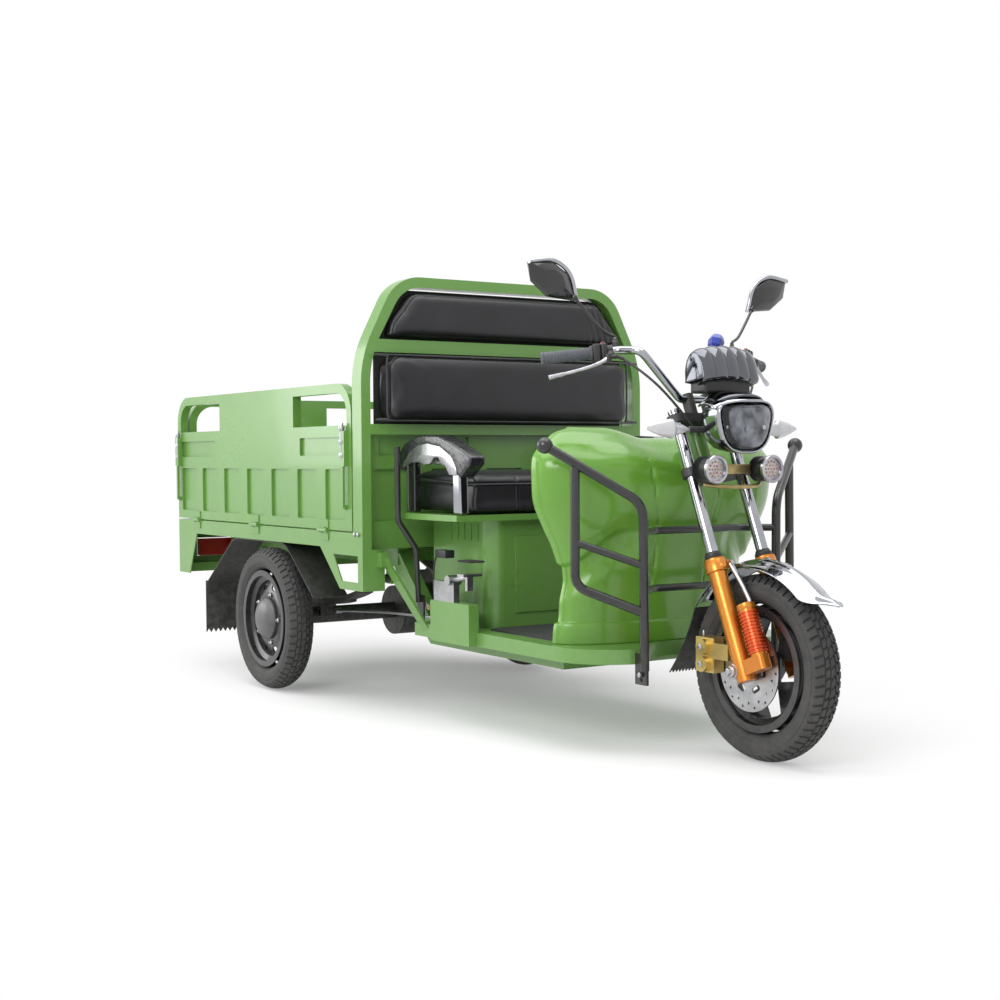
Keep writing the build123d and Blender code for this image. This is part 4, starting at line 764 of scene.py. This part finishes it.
for hand, side in SIDES:
    run = along_bar(side, 1) - along_bar(side, 0)
    ribs = [(74, 12), (74.2, 19.5), (78.2, 19.5), (79, 16)]
    for step in range(20):
        low = 80.5 + step * 6.2
        ribs += [(low, 16.2), (low + 4.2, 16.2), (low + 4.6, 15), (low + 5.8, 15)]
    ribs += [(206, 17.5), (211, 17.8), (211.8, 12)]
    build(f"grip_{hand}", [turned(ribs, along_bar(side, 0), run, 28)], GRIP, node="grips")
    level = Vector((0, 0, 1))
    cross = run.cross(level).normalized()
    raised = cross.cross(run).normalized()
    shapes = []
    for low, high, wide, tall, drop in ((0.033, 0.0505, 0.024, 0.022, 0.0), (0.0515, 0.0725, 0.0235, 0.0245, 0.002)):
        verts, faces = block((low, -wide, -tall), (high, wide, tall))
        shapes.append(([
            tuple(along_bar(side, 0) + run * x + cross * y + raised * (z - drop)) for x, y, z in verts
        ], faces))
    build(f"switch_box_{hand}", shapes, PLASTIC, node="handlebar_controls", bevel=6, segments=3)
    build(f"switch_keys_{hand}", [
        turned([(0, 5.5), (4, 5.5), (5, 4)],
               along_bar(side, 0.042) + raised * 0.021 + cross * (0.010 * step), raised, 12)
        for step in (-1, 1)
    ], RED)
    perch = along_bar(side, 0.030)
    pivot = perch + Vector((0.034, side * 0.024, -0.020))
    build(f"lever_perch_{hand}", [
        turned([(17, 11.5), (17.2, 16.5), (32.8, 16.5), (33, 11.5)], along_bar(side, 0), run, 24),
        tube([perch + Vector((0.012, 0, -0.006)), pivot], [11, 9], 12, 3),
        turned([(-11, 8), (11, 8)], pivot, (0, 0, 1), 16),
        tube([pivot, pivot + Vector((0.002, -0.026 * side, 0.004)), at(1592, side * 221, 1056.5)], [5.8, 5], 12),
    ], PLASTIC, bevel=1.5)
    build(f"lever_{hand}", [
        tube([
            pivot, pivot.lerp(along_bar(side, 0.090) + Vector((0.044, 0, -0.034)), 0.6),
            along_bar(side, 0.110) + Vector((0.043, 0, -0.037)),
            along_bar(side, 0.160) + Vector((0.036, 0, -0.046)),
            along_bar(side, 0.208) + Vector((0.030, 0, -0.053)),
        ], [7, 6.6, 5.8, 5.2, 5, 4.8, 5, 6.6, 7.2], 12, 6),
    ], BRUSHED)


# Headlamp: a chrome shell round a smoked reflector, with a clear cover and a stepped brow
LAMP_FRONT = at_x(1.828)


def lamp_ring(x, scale, lift=0.0, count=64):
    """The headlamp's outline at one place along it: wide above, narrow at its foot."""
    ring = []
    for step in range(count):
        angle = 2 * pi * step / count
        u = cos(angle)
        v = sin(angle)
        stretch = 1 / max(abs(u) ** 3.2 + abs(v) ** 3.2, 1e-9) ** (1 / 3.2)
        u, v = u * stretch, v * stretch
        wide = 0.093 + 0.017 * v
        ring.append((x, u * wide * scale, 0.876 + lift + 0.070 * v * scale - 0.004 * (1 - u * u) * (v < 0)))
    return ring


shell = [(-0.094, 0.66), (-0.092, 0.76), (-0.070, 0.90), (-0.036, 0.97), (-0.010, 1.00), (0.001, 1.00),
         (0.0055, 0.975), (0.0050, 0.93), (0.0010, 0.905), (-0.004, 0.895)]
build("headlamp_bowl", [surface([lamp_ring(LAMP_FRONT + x, s) for x, s in shell], True)], CHROME, node="headlamp_shell")
dish = [(-0.004, 0.895), (-0.020, 0.80), (-0.034, 0.66), (-0.044, 0.50), (-0.050, 0.36), (-0.052, 0.30)]
build("headlamp_reflector", [surface([lamp_ring(LAMP_FRONT + x, s) for x, s in dish], True, True)], SMOKED)
build("headlamp_eye", [
    turned([(-50, 30), (-16, 30), (-10, 27), (-12, 22.5), (-22, 20)], (LAMP_FRONT, 0, 0.866), (1, 0, 0), 40),
    turned([(-30, 11), (-12, 10), (-4, 6), (-3, 1)], (LAMP_FRONT, -0.058, 0.872), (1, 0, 0), 24),
    turned([(-30, 11), (-12, 10), (-4, 6), (-3, 1)], (LAMP_FRONT, 0.058, 0.872), (1, 0, 0), 24),
], CHROME)
build("headlamp_bulb", [
    turned([(-24, 20.5), (-16, 20), (-8, 16.5), (-4, 10), (-3, 1)], (LAMP_FRONT, 0, 0.866), (1, 0, 0), 40),
], GLASS)
cover = [(-0.0045, 0.885), (0.004, 0.87), (0.011, 0.78), (0.017, 0.60), (0.020, 0.38), (0.021, 0.15)]
build("headlamp_cover", [surface([lamp_ring(LAMP_FRONT + x, s) for x, s in cover], True, True)], GLASS,
      node="headlamp_lens")
for name, look, lift, reach, wide, back in (
    ("lower", CHROME, 0.0785, 0.033, 0.106, 1.732), ("upper", DARK_CHROME, 0.0915, 0.018, 0.086, 1.736),
):
    rows = []
    for step in range(9):
        share = step / 8
        row = []
        for place in range(33):
            y = -1 + place / 16
            front = LAMP_FRONT + reach - 0.040 * y * y
            x = at_x(back) + (front - at_x(back)) * share
            z = 0.872 + lift - 0.022 * abs(y) ** 3.5 - 0.010 * share**3 + 0.004 * sin(pi * share)
            row.append((x, y * wide * (0.78 + 0.22 * share), z))
        rows.append(row)
    thicken(build(f"headlamp_brow_{name}", [surface(rows)], look), 0.004)


# Instrument hood: five rounded ribs from its back over to a lip, dark below, with the gauge under it
def hood_point(share, across):
    line = ((1.692, 0.985), (1.691, 1.025), (1.697, 1.062), (1.716, 1.086), (1.742, 1.090), (1.764, 1.074),
            (1.780, 1.044), (1.789, 1.012))
    place = share * (len(line) - 1)
    index = min(int(place), len(line) - 2)
    part = place - index
    ends = (line[max(index - 1, 0)], line[index], line[index + 1], line[min(index + 2, len(line) - 1)])
    x, z = [hermite(b, c, (c - a) / 2, (d - b) / 2, part) for a, b, c, d in zip(*ends)]
    side = abs(across)
    lobe = abs(cos(2.5 * pi * across)) ** 0.6
    centre = (1.730, 1.010)
    shrink = 1 - 0.20 * side**2.2 - 0.075 * (1 - lobe) * ease(share, 0.12, 0.35)
    drop = 0.010 * side**2 * ease(share, 0.6, 1.0)
    return (at_x(centre[0] + (x - centre[0]) * shrink), across * 0.098, centre[1] + (z - centre[1]) * shrink - drop)


rows = [[hood_point(i / 40, -1 + j / 60) for j in range(121)] for i in range(41)]
edge = rows[-1]
rows.append([(x - 0.004, y * 0.99, z - 0.010) for x, y, z in edge])
rows.append([(x - 0.030, y * 0.93, z - 0.020) for x, y, z in edge])
thicken(build("instrument_hood", [surface(rows)], DARK_CHROME, node="instrument_visor", smooth=50), 0.003)
for hand, side in SIDES:
    cheek = [hood_point(i / 20, side) for i in range(21)]
    outline = [(x, z) for x, y, z in cheek]
    build(f"hood_cheek_{hand}", [prism(outline, side * 0.0965, side * 0.0935)], DARK_CHROME, bevel=1)
build("instrument_case", [
    block(at(1695, -78, 962), at(1762, 78, 1004)),
    block(at(1696, -20, 896), at(1712, 20, 964)),
], PLASTIC, bevel=8, segments=3)
build("instrument_dial", [turned([(0, 34), (4, 34), (5, 31)], at(1692.5, 0, 1020), (-1, 0, 0), 40)], GLOSS)
build("clamp_cap", [
    turned([(-24, 10), (-14, 21), (4, 23), (18, 18), (24, 8)], at(1672, 34, 1104), (-0.25, 0.55, 1), 6),
], BLUE, bevel=2, smooth=20)
build("clamp_stem", [tube([at(1706, 30, 1004), at(1686, 31, 1050), at(1674, 33, 1096)], 8, 12)], PLASTIC)

# Spot lamps: bright rings round dark faces with rows of small lamps
for hand, side in SIDES:
    centre = at(1827.5, side * 98, 761)
    build(f"spot_body_{hand}", [
        turned([(-78, 12), (-76, 20), (-50, 26), (-30, 33.5), (-8, 34.5), (-6, 30), (-8, 2)], centre, (1, 0, 0), 40),
        *[turned([(-62 + 8 * i, 24 + 1.5 * i), (-59 + 8 * i, 34), (-56 + 8 * i, 24)],
                 centre, (1, 0, 0), 32) for i in range(3)],
    ], PLASTIC, node="spot_lamps")
    build(f"spot_ring_{hand}", [
        turned([(-10, 34.5), (-8, 37.5), (0, 38), (2.5, 35.5), (1, 30), (-6, 28.5)], centre, (1, 0, 0), 48),
    ], BRUSHED)
    dots = []
    for ring, count in ((0.0, 1), (0.010, 6), (0.020, 12)):
        for step in range(count):
            angle = 2 * pi * step / count
            spot = (centre[0] - 0.0075, centre[1] + ring * cos(angle), centre[2] + ring * sin(angle))
            dots.append(turned([(0, 3.8), (2, 3.4), (3.2, 1.8)], spot, (1, 0, 0), 10))
    build(f"spot_leds_{hand}", dots, SPOT_LED)
build("spot_bracket", [
    tube([at(1775, -100, 722), at(1800, -60, 716), at(1806, 0, 714),
          at(1800, 60, 716), at(1775, 100, 722)], 6, 10),
    block(at(1765, -98, 748), at(1775, 98, 774)),
    block(at(1741, -30, 752), at(1768, 30, 770)),
], BRASS, bevel=2)

# Turn signals: leaf-shaped clear lenses on short stalks
for hand, side in SIDES:
    rows = []
    for step in range(25):
        share = step / 24
        swell = sin(pi * min(share * 1.25, 1) ** 0.8 * 0.5)
        taper = 1 - 0.86 * max((share - 0.4) / 0.6, 0) ** 1.6
        half = max(0.026 * (swell if share < 0.4 else taper), 0.003)
        middle = (at_x(1.754 - 0.012 * share), side * (0.128 + 0.136 * share), 0.866 + 0.004 * share)
        rows.append([
            (middle[0] + 0.62 * half * cos(2 * pi * k / 32), middle[1], middle[2] + half * sin(2 * pi * k / 32))
            for k in range(32)
        ])
    build(f"signal_lens_{hand}", [surface(rows, True, True)], SIGNAL, node="turn_signals")
    build(f"signal_stalk_{hand}", [tube([at(1756, side * 78, 866), at(1755, side * 130, 866)], 8.5, 16)], PLASTIC)

# Rear hub caps with wheel nuts, and the front hub's bolts
for hand, side in SIDES:
    middle = (REAR_X, side * 0.520, AXLE_Z)
    build(f"hub_cap_{hand}", [
        turned([(20, 71.5), (27, 72), (30, 70), (33, 66), (41, 60), (48, 48),
                (52.5, 32), (54.5, 16), (55, 1)], middle, (0, side, 0), 56),
    ], GREY_METAL, f"rear_wheel_{hand}")
    build(f"wheel_nuts_{hand}", [
        turned([(14, 8.5), (24, 8.5), (26, 6), (30, 5)],
               (REAR_X + 0.086 * cos(2 * pi * k / 5), side * 0.520, AXLE_Z + 0.086 * sin(2 * pi * k / 5)),
               (0, side, 0), 6)
        for k in range(5)
    ], STEEL, f"rear_wheel_{hand}")
    build(f"valve_{hand}", [
        tube([(REAR_X + 0.140, side * 0.535, AXLE_Z + 0.02), (REAR_X + 0.136, side * 0.562, AXLE_Z + 0.02)], 3.5, 10),
    ], PLASTIC, f"rear_wheel_{hand}")
build("caliper_bolts", [
    turned([(0, 8.5), (5, 8.5), (7, 5)], (FRONT_X - 0.128, -0.110, AXLE_Z + up), (0, -1, 0), 6)
    for up in (0.004, 0.050)
] + [turned([(0, 4), (10, 4), (14, 2.5)], (FRONT_X - 0.150, -0.080, AXLE_Z + 0.076), (0, 0, 1), 10)],
    STEEL)

# Control cables from the levers down to the stem
CABLE_RUN = ((1.590, 0.222, 1.058), (1.660, 0.190, 1.010), (1.694, 0.120, 0.930), (1.716, 0.060, 0.850))
for hand, side in SIDES:
    curve = bpy.data.curves.new(f"control_cable_{hand}", "CURVE")
    curve.dimensions = "3D"
    curve.bevel_depth = 0.0035
    curve.bevel_resolution = 4
    curve.resolution_u = 16
    curve.use_fill_caps = True
    line = curve.splines.new("NURBS")
    line.points.add(len(CABLE_RUN) - 1)
    for point, (x, y, z) in zip(line.points, CABLE_RUN):
        point.co = (at_x(x), side * y, z, 1)
    line.order_u = 3
    line.use_endpoint_u = True
    curve.materials.append(PLASTIC)
    cable = bpy.data.objects.new(f"control_cable_{hand}", curve)
    bpy.context.collection.objects.link(cable)
    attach(cable, "steering")
    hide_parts("control_cables")


# Rubber flaps with a notched foot
def notched_flap(name, body, node, top, foot, middle, half, teeth=9, thickness=0.004, belly=0.010):
    """A flap between two places in X and Z, hung from its top, with a saw-toothed foot."""
    top, foot = Vector((top[0], 0, top[1])), Vector((foot[0], 0, foot[1]))
    down = foot - top
    face = Vector((-down.z, 0, down.x)).normalized()
    across = 2 * teeth + 1
    front, rear = [], []
    for step in range(13):
        share = step / 12
        for place in range(across):
            y = middle + half * (2 * place / (across - 1) - 1)
            reach = share
            if step == 12 and place % 2:
                reach = share - 0.075
            spot = top + down * reach + face * belly * sin(pi * share) + Vector((0, y, 0))
            front.append(tuple(spot))
            rear.append(tuple(spot + face * thickness))
    count = len(front)
    faces = strip_faces(13, across)
    faces += [tuple(i + count for i in face[::-1]) for face in faces]
    rim = [place for place in range(across)]
    rim += [row * across + across - 1 for row in range(1, 13)]
    rim += [12 * across + place for place in range(across - 2, -1, -1)]
    rim += [row * across for row in range(11, 0, -1)]
    faces += [(a, b, b + count, a + count) for a, b in zip(rim, rim[1:] + rim[:1])]
    return build(name, [(front + rear, faces)], FLAP, body, node, smooth=30)


notched_flap(
    "front_flap_rubber", "steering", "front_flap", (FRONT_X - 0.220, 0.388), (FRONT_X - 0.329, 0.200), 0, 0.052
)
flap_low, flap_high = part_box("rear_flaps")
for hand, side in SIDES:
    wide = 0.085
    notched_flap(
        f"rear_flap_rubber_{hand}", "chassis", "rear_flaps",
        ((flap_low[0] + flap_high[0]) / 2, flap_high[2]), ((flap_low[0] + flap_high[0]) / 2, flap_low[2]),
        side * (flap_high[1] - wide), wide, thickness=-0.004, belly=0.0,
    )


# Piping round the faces of the pads
def piping(name, points):
    build(name, [tube([*points, points[0]], 3.5, 8, 4)], VINYL_EDGE, "chassis")


def rounded_outline(corners, cut=0.018):
    """An outline whose corners are each replaced by two points a little way along its sides."""
    line = []
    for before, corner, after in zip(corners[-1:] + corners[:-1], corners, corners[1:] + corners[:1]):
        corner = Vector(corner)
        line.append(corner + (Vector(before) - corner).normalized() * cut)
        line.append(corner.lerp((line[-1] + corner + (Vector(after) - corner).normalized() * cut) / 2, 0.55))
        line.append(corner + (Vector(after) - corner).normalized() * cut)
    return line


VINYL_EDGE = material(
    "vinyl_piping", (0.022, 0.022, 0.026), (0.034, 0.034, 0.040), rough=(0.18, 0.30), coat=0.3, grain_scale=400,
    grain=0.2,
)
lower, higher = inner_box("back_cushion_lower", (0.0, 0.0045, 0.0045))
piping("lower_back_piping", rounded_outline([
    (higher[0] - 0.016, lower[1], lower[2]), (higher[0] - 0.016, higher[1], lower[2]),
    (higher[0] - 0.016, higher[1], higher[2]), (higher[0] - 0.016, lower[1], higher[2]),
], 0.022))
front = s_high[0] - 0.004
piping("seat_piping", rounded_outline([
    (s_low[0] + 0.02, s_low[1] - 0.001, s_high[2] - 0.022), (front, s_low[1] - 0.001, s_high[2] - 0.036),
    (front, s_high[1] + 0.001, s_high[2] - 0.036), (s_low[0] + 0.02, s_high[1] + 0.001, s_high[2] - 0.022),
], 0.020))


# Bolt heads
def bolt(place, axis, radius):
    return turned([(0, radius), (6, radius), (7.5, radius * 0.7)], place, axis, 6)


def bolts(name, rows):
    build(name, [bolt(*row) for row in rows], STEEL, "chassis")


hoop_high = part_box("seat_hoop")[1]
bolts("hoop_bolts", [
    ((x, side * (hoop_high[1] + 0.0005), z), (0, side, 0), 7)
    for side in (-1, 1) for x, z in ((-0.010, 0.560), (0.012, 0.560))
])
bolts("crash_bar_bolts", [(at(1688, side * 241, 221), (0, side, 0), 8) for side in (-1, 1)])
bolts("axle_bolts", [
    ((REAR_X + x, side * 0.355, 0.245 + z), (0, 0, 1), 7)
    for side in (-1, 1) for x in (-0.045, 0.045) for z in (0.060,)
])

# Foot brake: a ribbed pedal plate on its arm, the pull rod to the rear axle and the linkage below it
build("pedal_pad", [
    *[block((at_x(1.030) + 0.013 * i, -0.402, 0.4895), (at_x(1.036) + 0.013 * i, -0.352, 0.4955)) for i in range(6)],
], FLAP, "chassis", bevel=1)
build("brake_rod", [
    tube([at(60, -300, 262), at(420, -312, 286), at(800, -326, 300)], 4.5, 10),
    turned([(0, 9), (30, 9)], at(790, -326, 299), (1, 0, 0.05), 6),
    turned([(-12, 10), (12, 10)], at(60, -300, 262), (0, 1, 0), 16),
], STEEL, "chassis")
coil = [
    (at_x(0.640 + 0.0022 * i), -0.326 + 0.010 * cos(1.05 * i), 0.330 + 0.0001 * i + 0.010 * sin(1.05 * i))
    for i in range(56)
]
build("return_spring", [tube(coil, 1.6, 6, 2)], STEEL, "chassis")
build("linkage", [
    tube([at(760, -330, 332), at(860, -345, 318), at(905, -350, 300)], 7, 10, 3),
    turned([(-16, 13), (16, 13)], at(905, -350, 300), (0, 1, 0), 18),
    turned([(-14, 10), (14, 10)], at(762, -330, 332), (0, 1, 0), 18),
], BRASS, "chassis")
build("pedal_switch", [
    block(at(905, -404, 497), at(965, -372, 520)),
    tube([at(910, -388, 508), at(880, -388, 490), at(862, -384, 440), at(858, -380, 380)], 3, 8),
], PLASTIC, "chassis", bevel=3)

# Latch bolts on the gates, with their rings
for hand, side in SIDES:
    low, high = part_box(f"gate_{hand}")
    face = high[1] if side > 0 else low[1]
    for end, x in (("front", high[0] - 0.040), ("rear", low[0] + 0.030)):
        build(f"latch_{end}_{hand}", [
            tube([(x, face - side * 0.004, 0.905), (x, face - side * 0.002, 0.845), (x, face - side * 0.004, 0.790)],
                 5.5, 10),
            *[turned([(-7, 9.5), (7, 9.5)], (x, face - side * 0.003, z), (0, 0, 1), 18) for z in (0.888, 0.846, 0.804)],
        ], STEEL, f"side_gate_{hand}", bevel=1)


# Stage, light and camera
def soft_light(name, place, size, power, aim=(0, 0, 0.6)):
    data = bpy.data.lights.new(name, "AREA")
    data.shape = "RECTANGLE"
    data.size, data.size_y = size
    data.energy = power
    lamp = bpy.data.objects.new(name, data)
    bpy.context.collection.objects.link(lamp)
    lamp.location = place
    lamp.rotation_euler = (Vector(aim) - Vector(place)).to_track_quat("-Z", "Y").to_euler()
    return lamp


def background_rays(tree):
    """One for what the camera sees straight, through glass or mirrored, and nought for lighting."""
    path = add_node(tree, "LightPath").outputs
    mirrored = maths(tree, "MAXIMUM", path["Is Camera Ray"], path["Is Glossy Ray"])
    return maths(tree, "MAXIMUM", mirrored, path["Is Transmission Ray"])


def make_floor():
    """A pale floor that keeps the shadow near the object and turns into the white background further out."""
    bpy.ops.mesh.primitive_plane_add(size=60, location=(0, 0, 0))
    floor = bpy.context.object
    floor.name = "stage_floor"
    made = bpy.data.materials.new("stage_white")
    made.use_nodes = True
    tree = made.node_tree
    shader = tree.nodes["Principled BSDF"]
    shader.inputs["Base Color"].default_value = (0.86, 0.86, 0.86, 1)
    shader.inputs["Roughness"].default_value = 0.9
    coords = add_node(tree, "TexCoord").outputs["Object"]
    squeeze = add_node(tree, "VectorMath", (0, coords), (1, (1 / 2.0, 1 / 1.1, 0)), operation="MULTIPLY")
    far = add_node(tree, "VectorMath", (0, squeeze.outputs[0]), operation="LENGTH").outputs["Value"]
    share = maths(tree, "MULTIPLY", background_rays(tree), ramp(tree, far, 0.50, 1.30, 0.22, 1.0))
    glow = add_node(tree, "Emission", ("Color", (1, 1, 1, 1)))
    blend = add_node(tree, "MixShader", (0, share), (1, shader.outputs[0]), (2, glow.outputs[0]))
    tree.links.new(blend.outputs[0], tree.nodes["Material Output"].inputs["Surface"])
    floor.data.materials.append(made)


def make_world():
    world = bpy.context.scene.world or bpy.data.worlds.new("world")
    bpy.context.scene.world = world
    world.use_nodes = True
    tree = world.node_tree
    tree.nodes.clear()
    height = add_node(tree, "SeparateXYZ", (0, add_node(tree, "TexCoord").outputs["Generated"])).outputs["Z"]
    sky = mix_colour(tree, ramp(tree, height, -0.1, 0.55, 0, 1), (0.42, 0.44, 0.46), (1.0, 1.0, 1.0))
    room = add_node(tree, "Background", ("Color", sky), ("Strength", 0.62))
    white = add_node(tree, "Background", ("Color", (1, 1, 1, 1)))
    pick = add_node(tree, "MixShader", (0, background_rays(tree)), (1, room.outputs[0]), (2, white.outputs[0]))
    add_node(tree, "OutputWorld", ("Surface", pick.outputs[0]))


CAMERA_PLACE = Vector((4.163, -2.7249, 0.7955))
AZIMUTH = radians(56.934)
ELEVATION = radians(2.639)
ROLL = radians(-0.3165)


def make_camera():
    data = bpy.data.cameras.new("camera")
    data.lens = 54.745
    data.sensor_width = 36
    data.shift_y = 0.02748
    camera = bpy.data.objects.new("camera", data)
    bpy.context.collection.objects.link(camera)
    look = -Vector((sin(AZIMUTH) * cos(ELEVATION), -cos(AZIMUTH) * cos(ELEVATION), sin(ELEVATION)))
    right = Vector((cos(AZIMUTH), sin(AZIMUTH), 0))
    up = right.cross(look)
    tilted_right = cos(ROLL) * right + sin(ROLL) * up
    tilted_up = -sin(ROLL) * right + cos(ROLL) * up
    turn = Matrix((tilted_right, tilted_up, -look)).transposed()
    camera.matrix_world = Matrix.Translation(CAMERA_PLACE) @ turn.to_4x4()
    bpy.context.scene.camera = camera


make_floor()
make_world()
soft_light("top_light", (0.4, -0.4, 4.2), (5.0, 3.6), 150)
soft_light("key_light", (2.6, -4.4, 2.9), (2.6, 2.0), 120)
soft_light("fill_light", (-3.4, -3.6, 2.0), (3.6, 2.6), 95)
make_camera()
bpy.context.scene.view_settings.view_transform = "Standard"
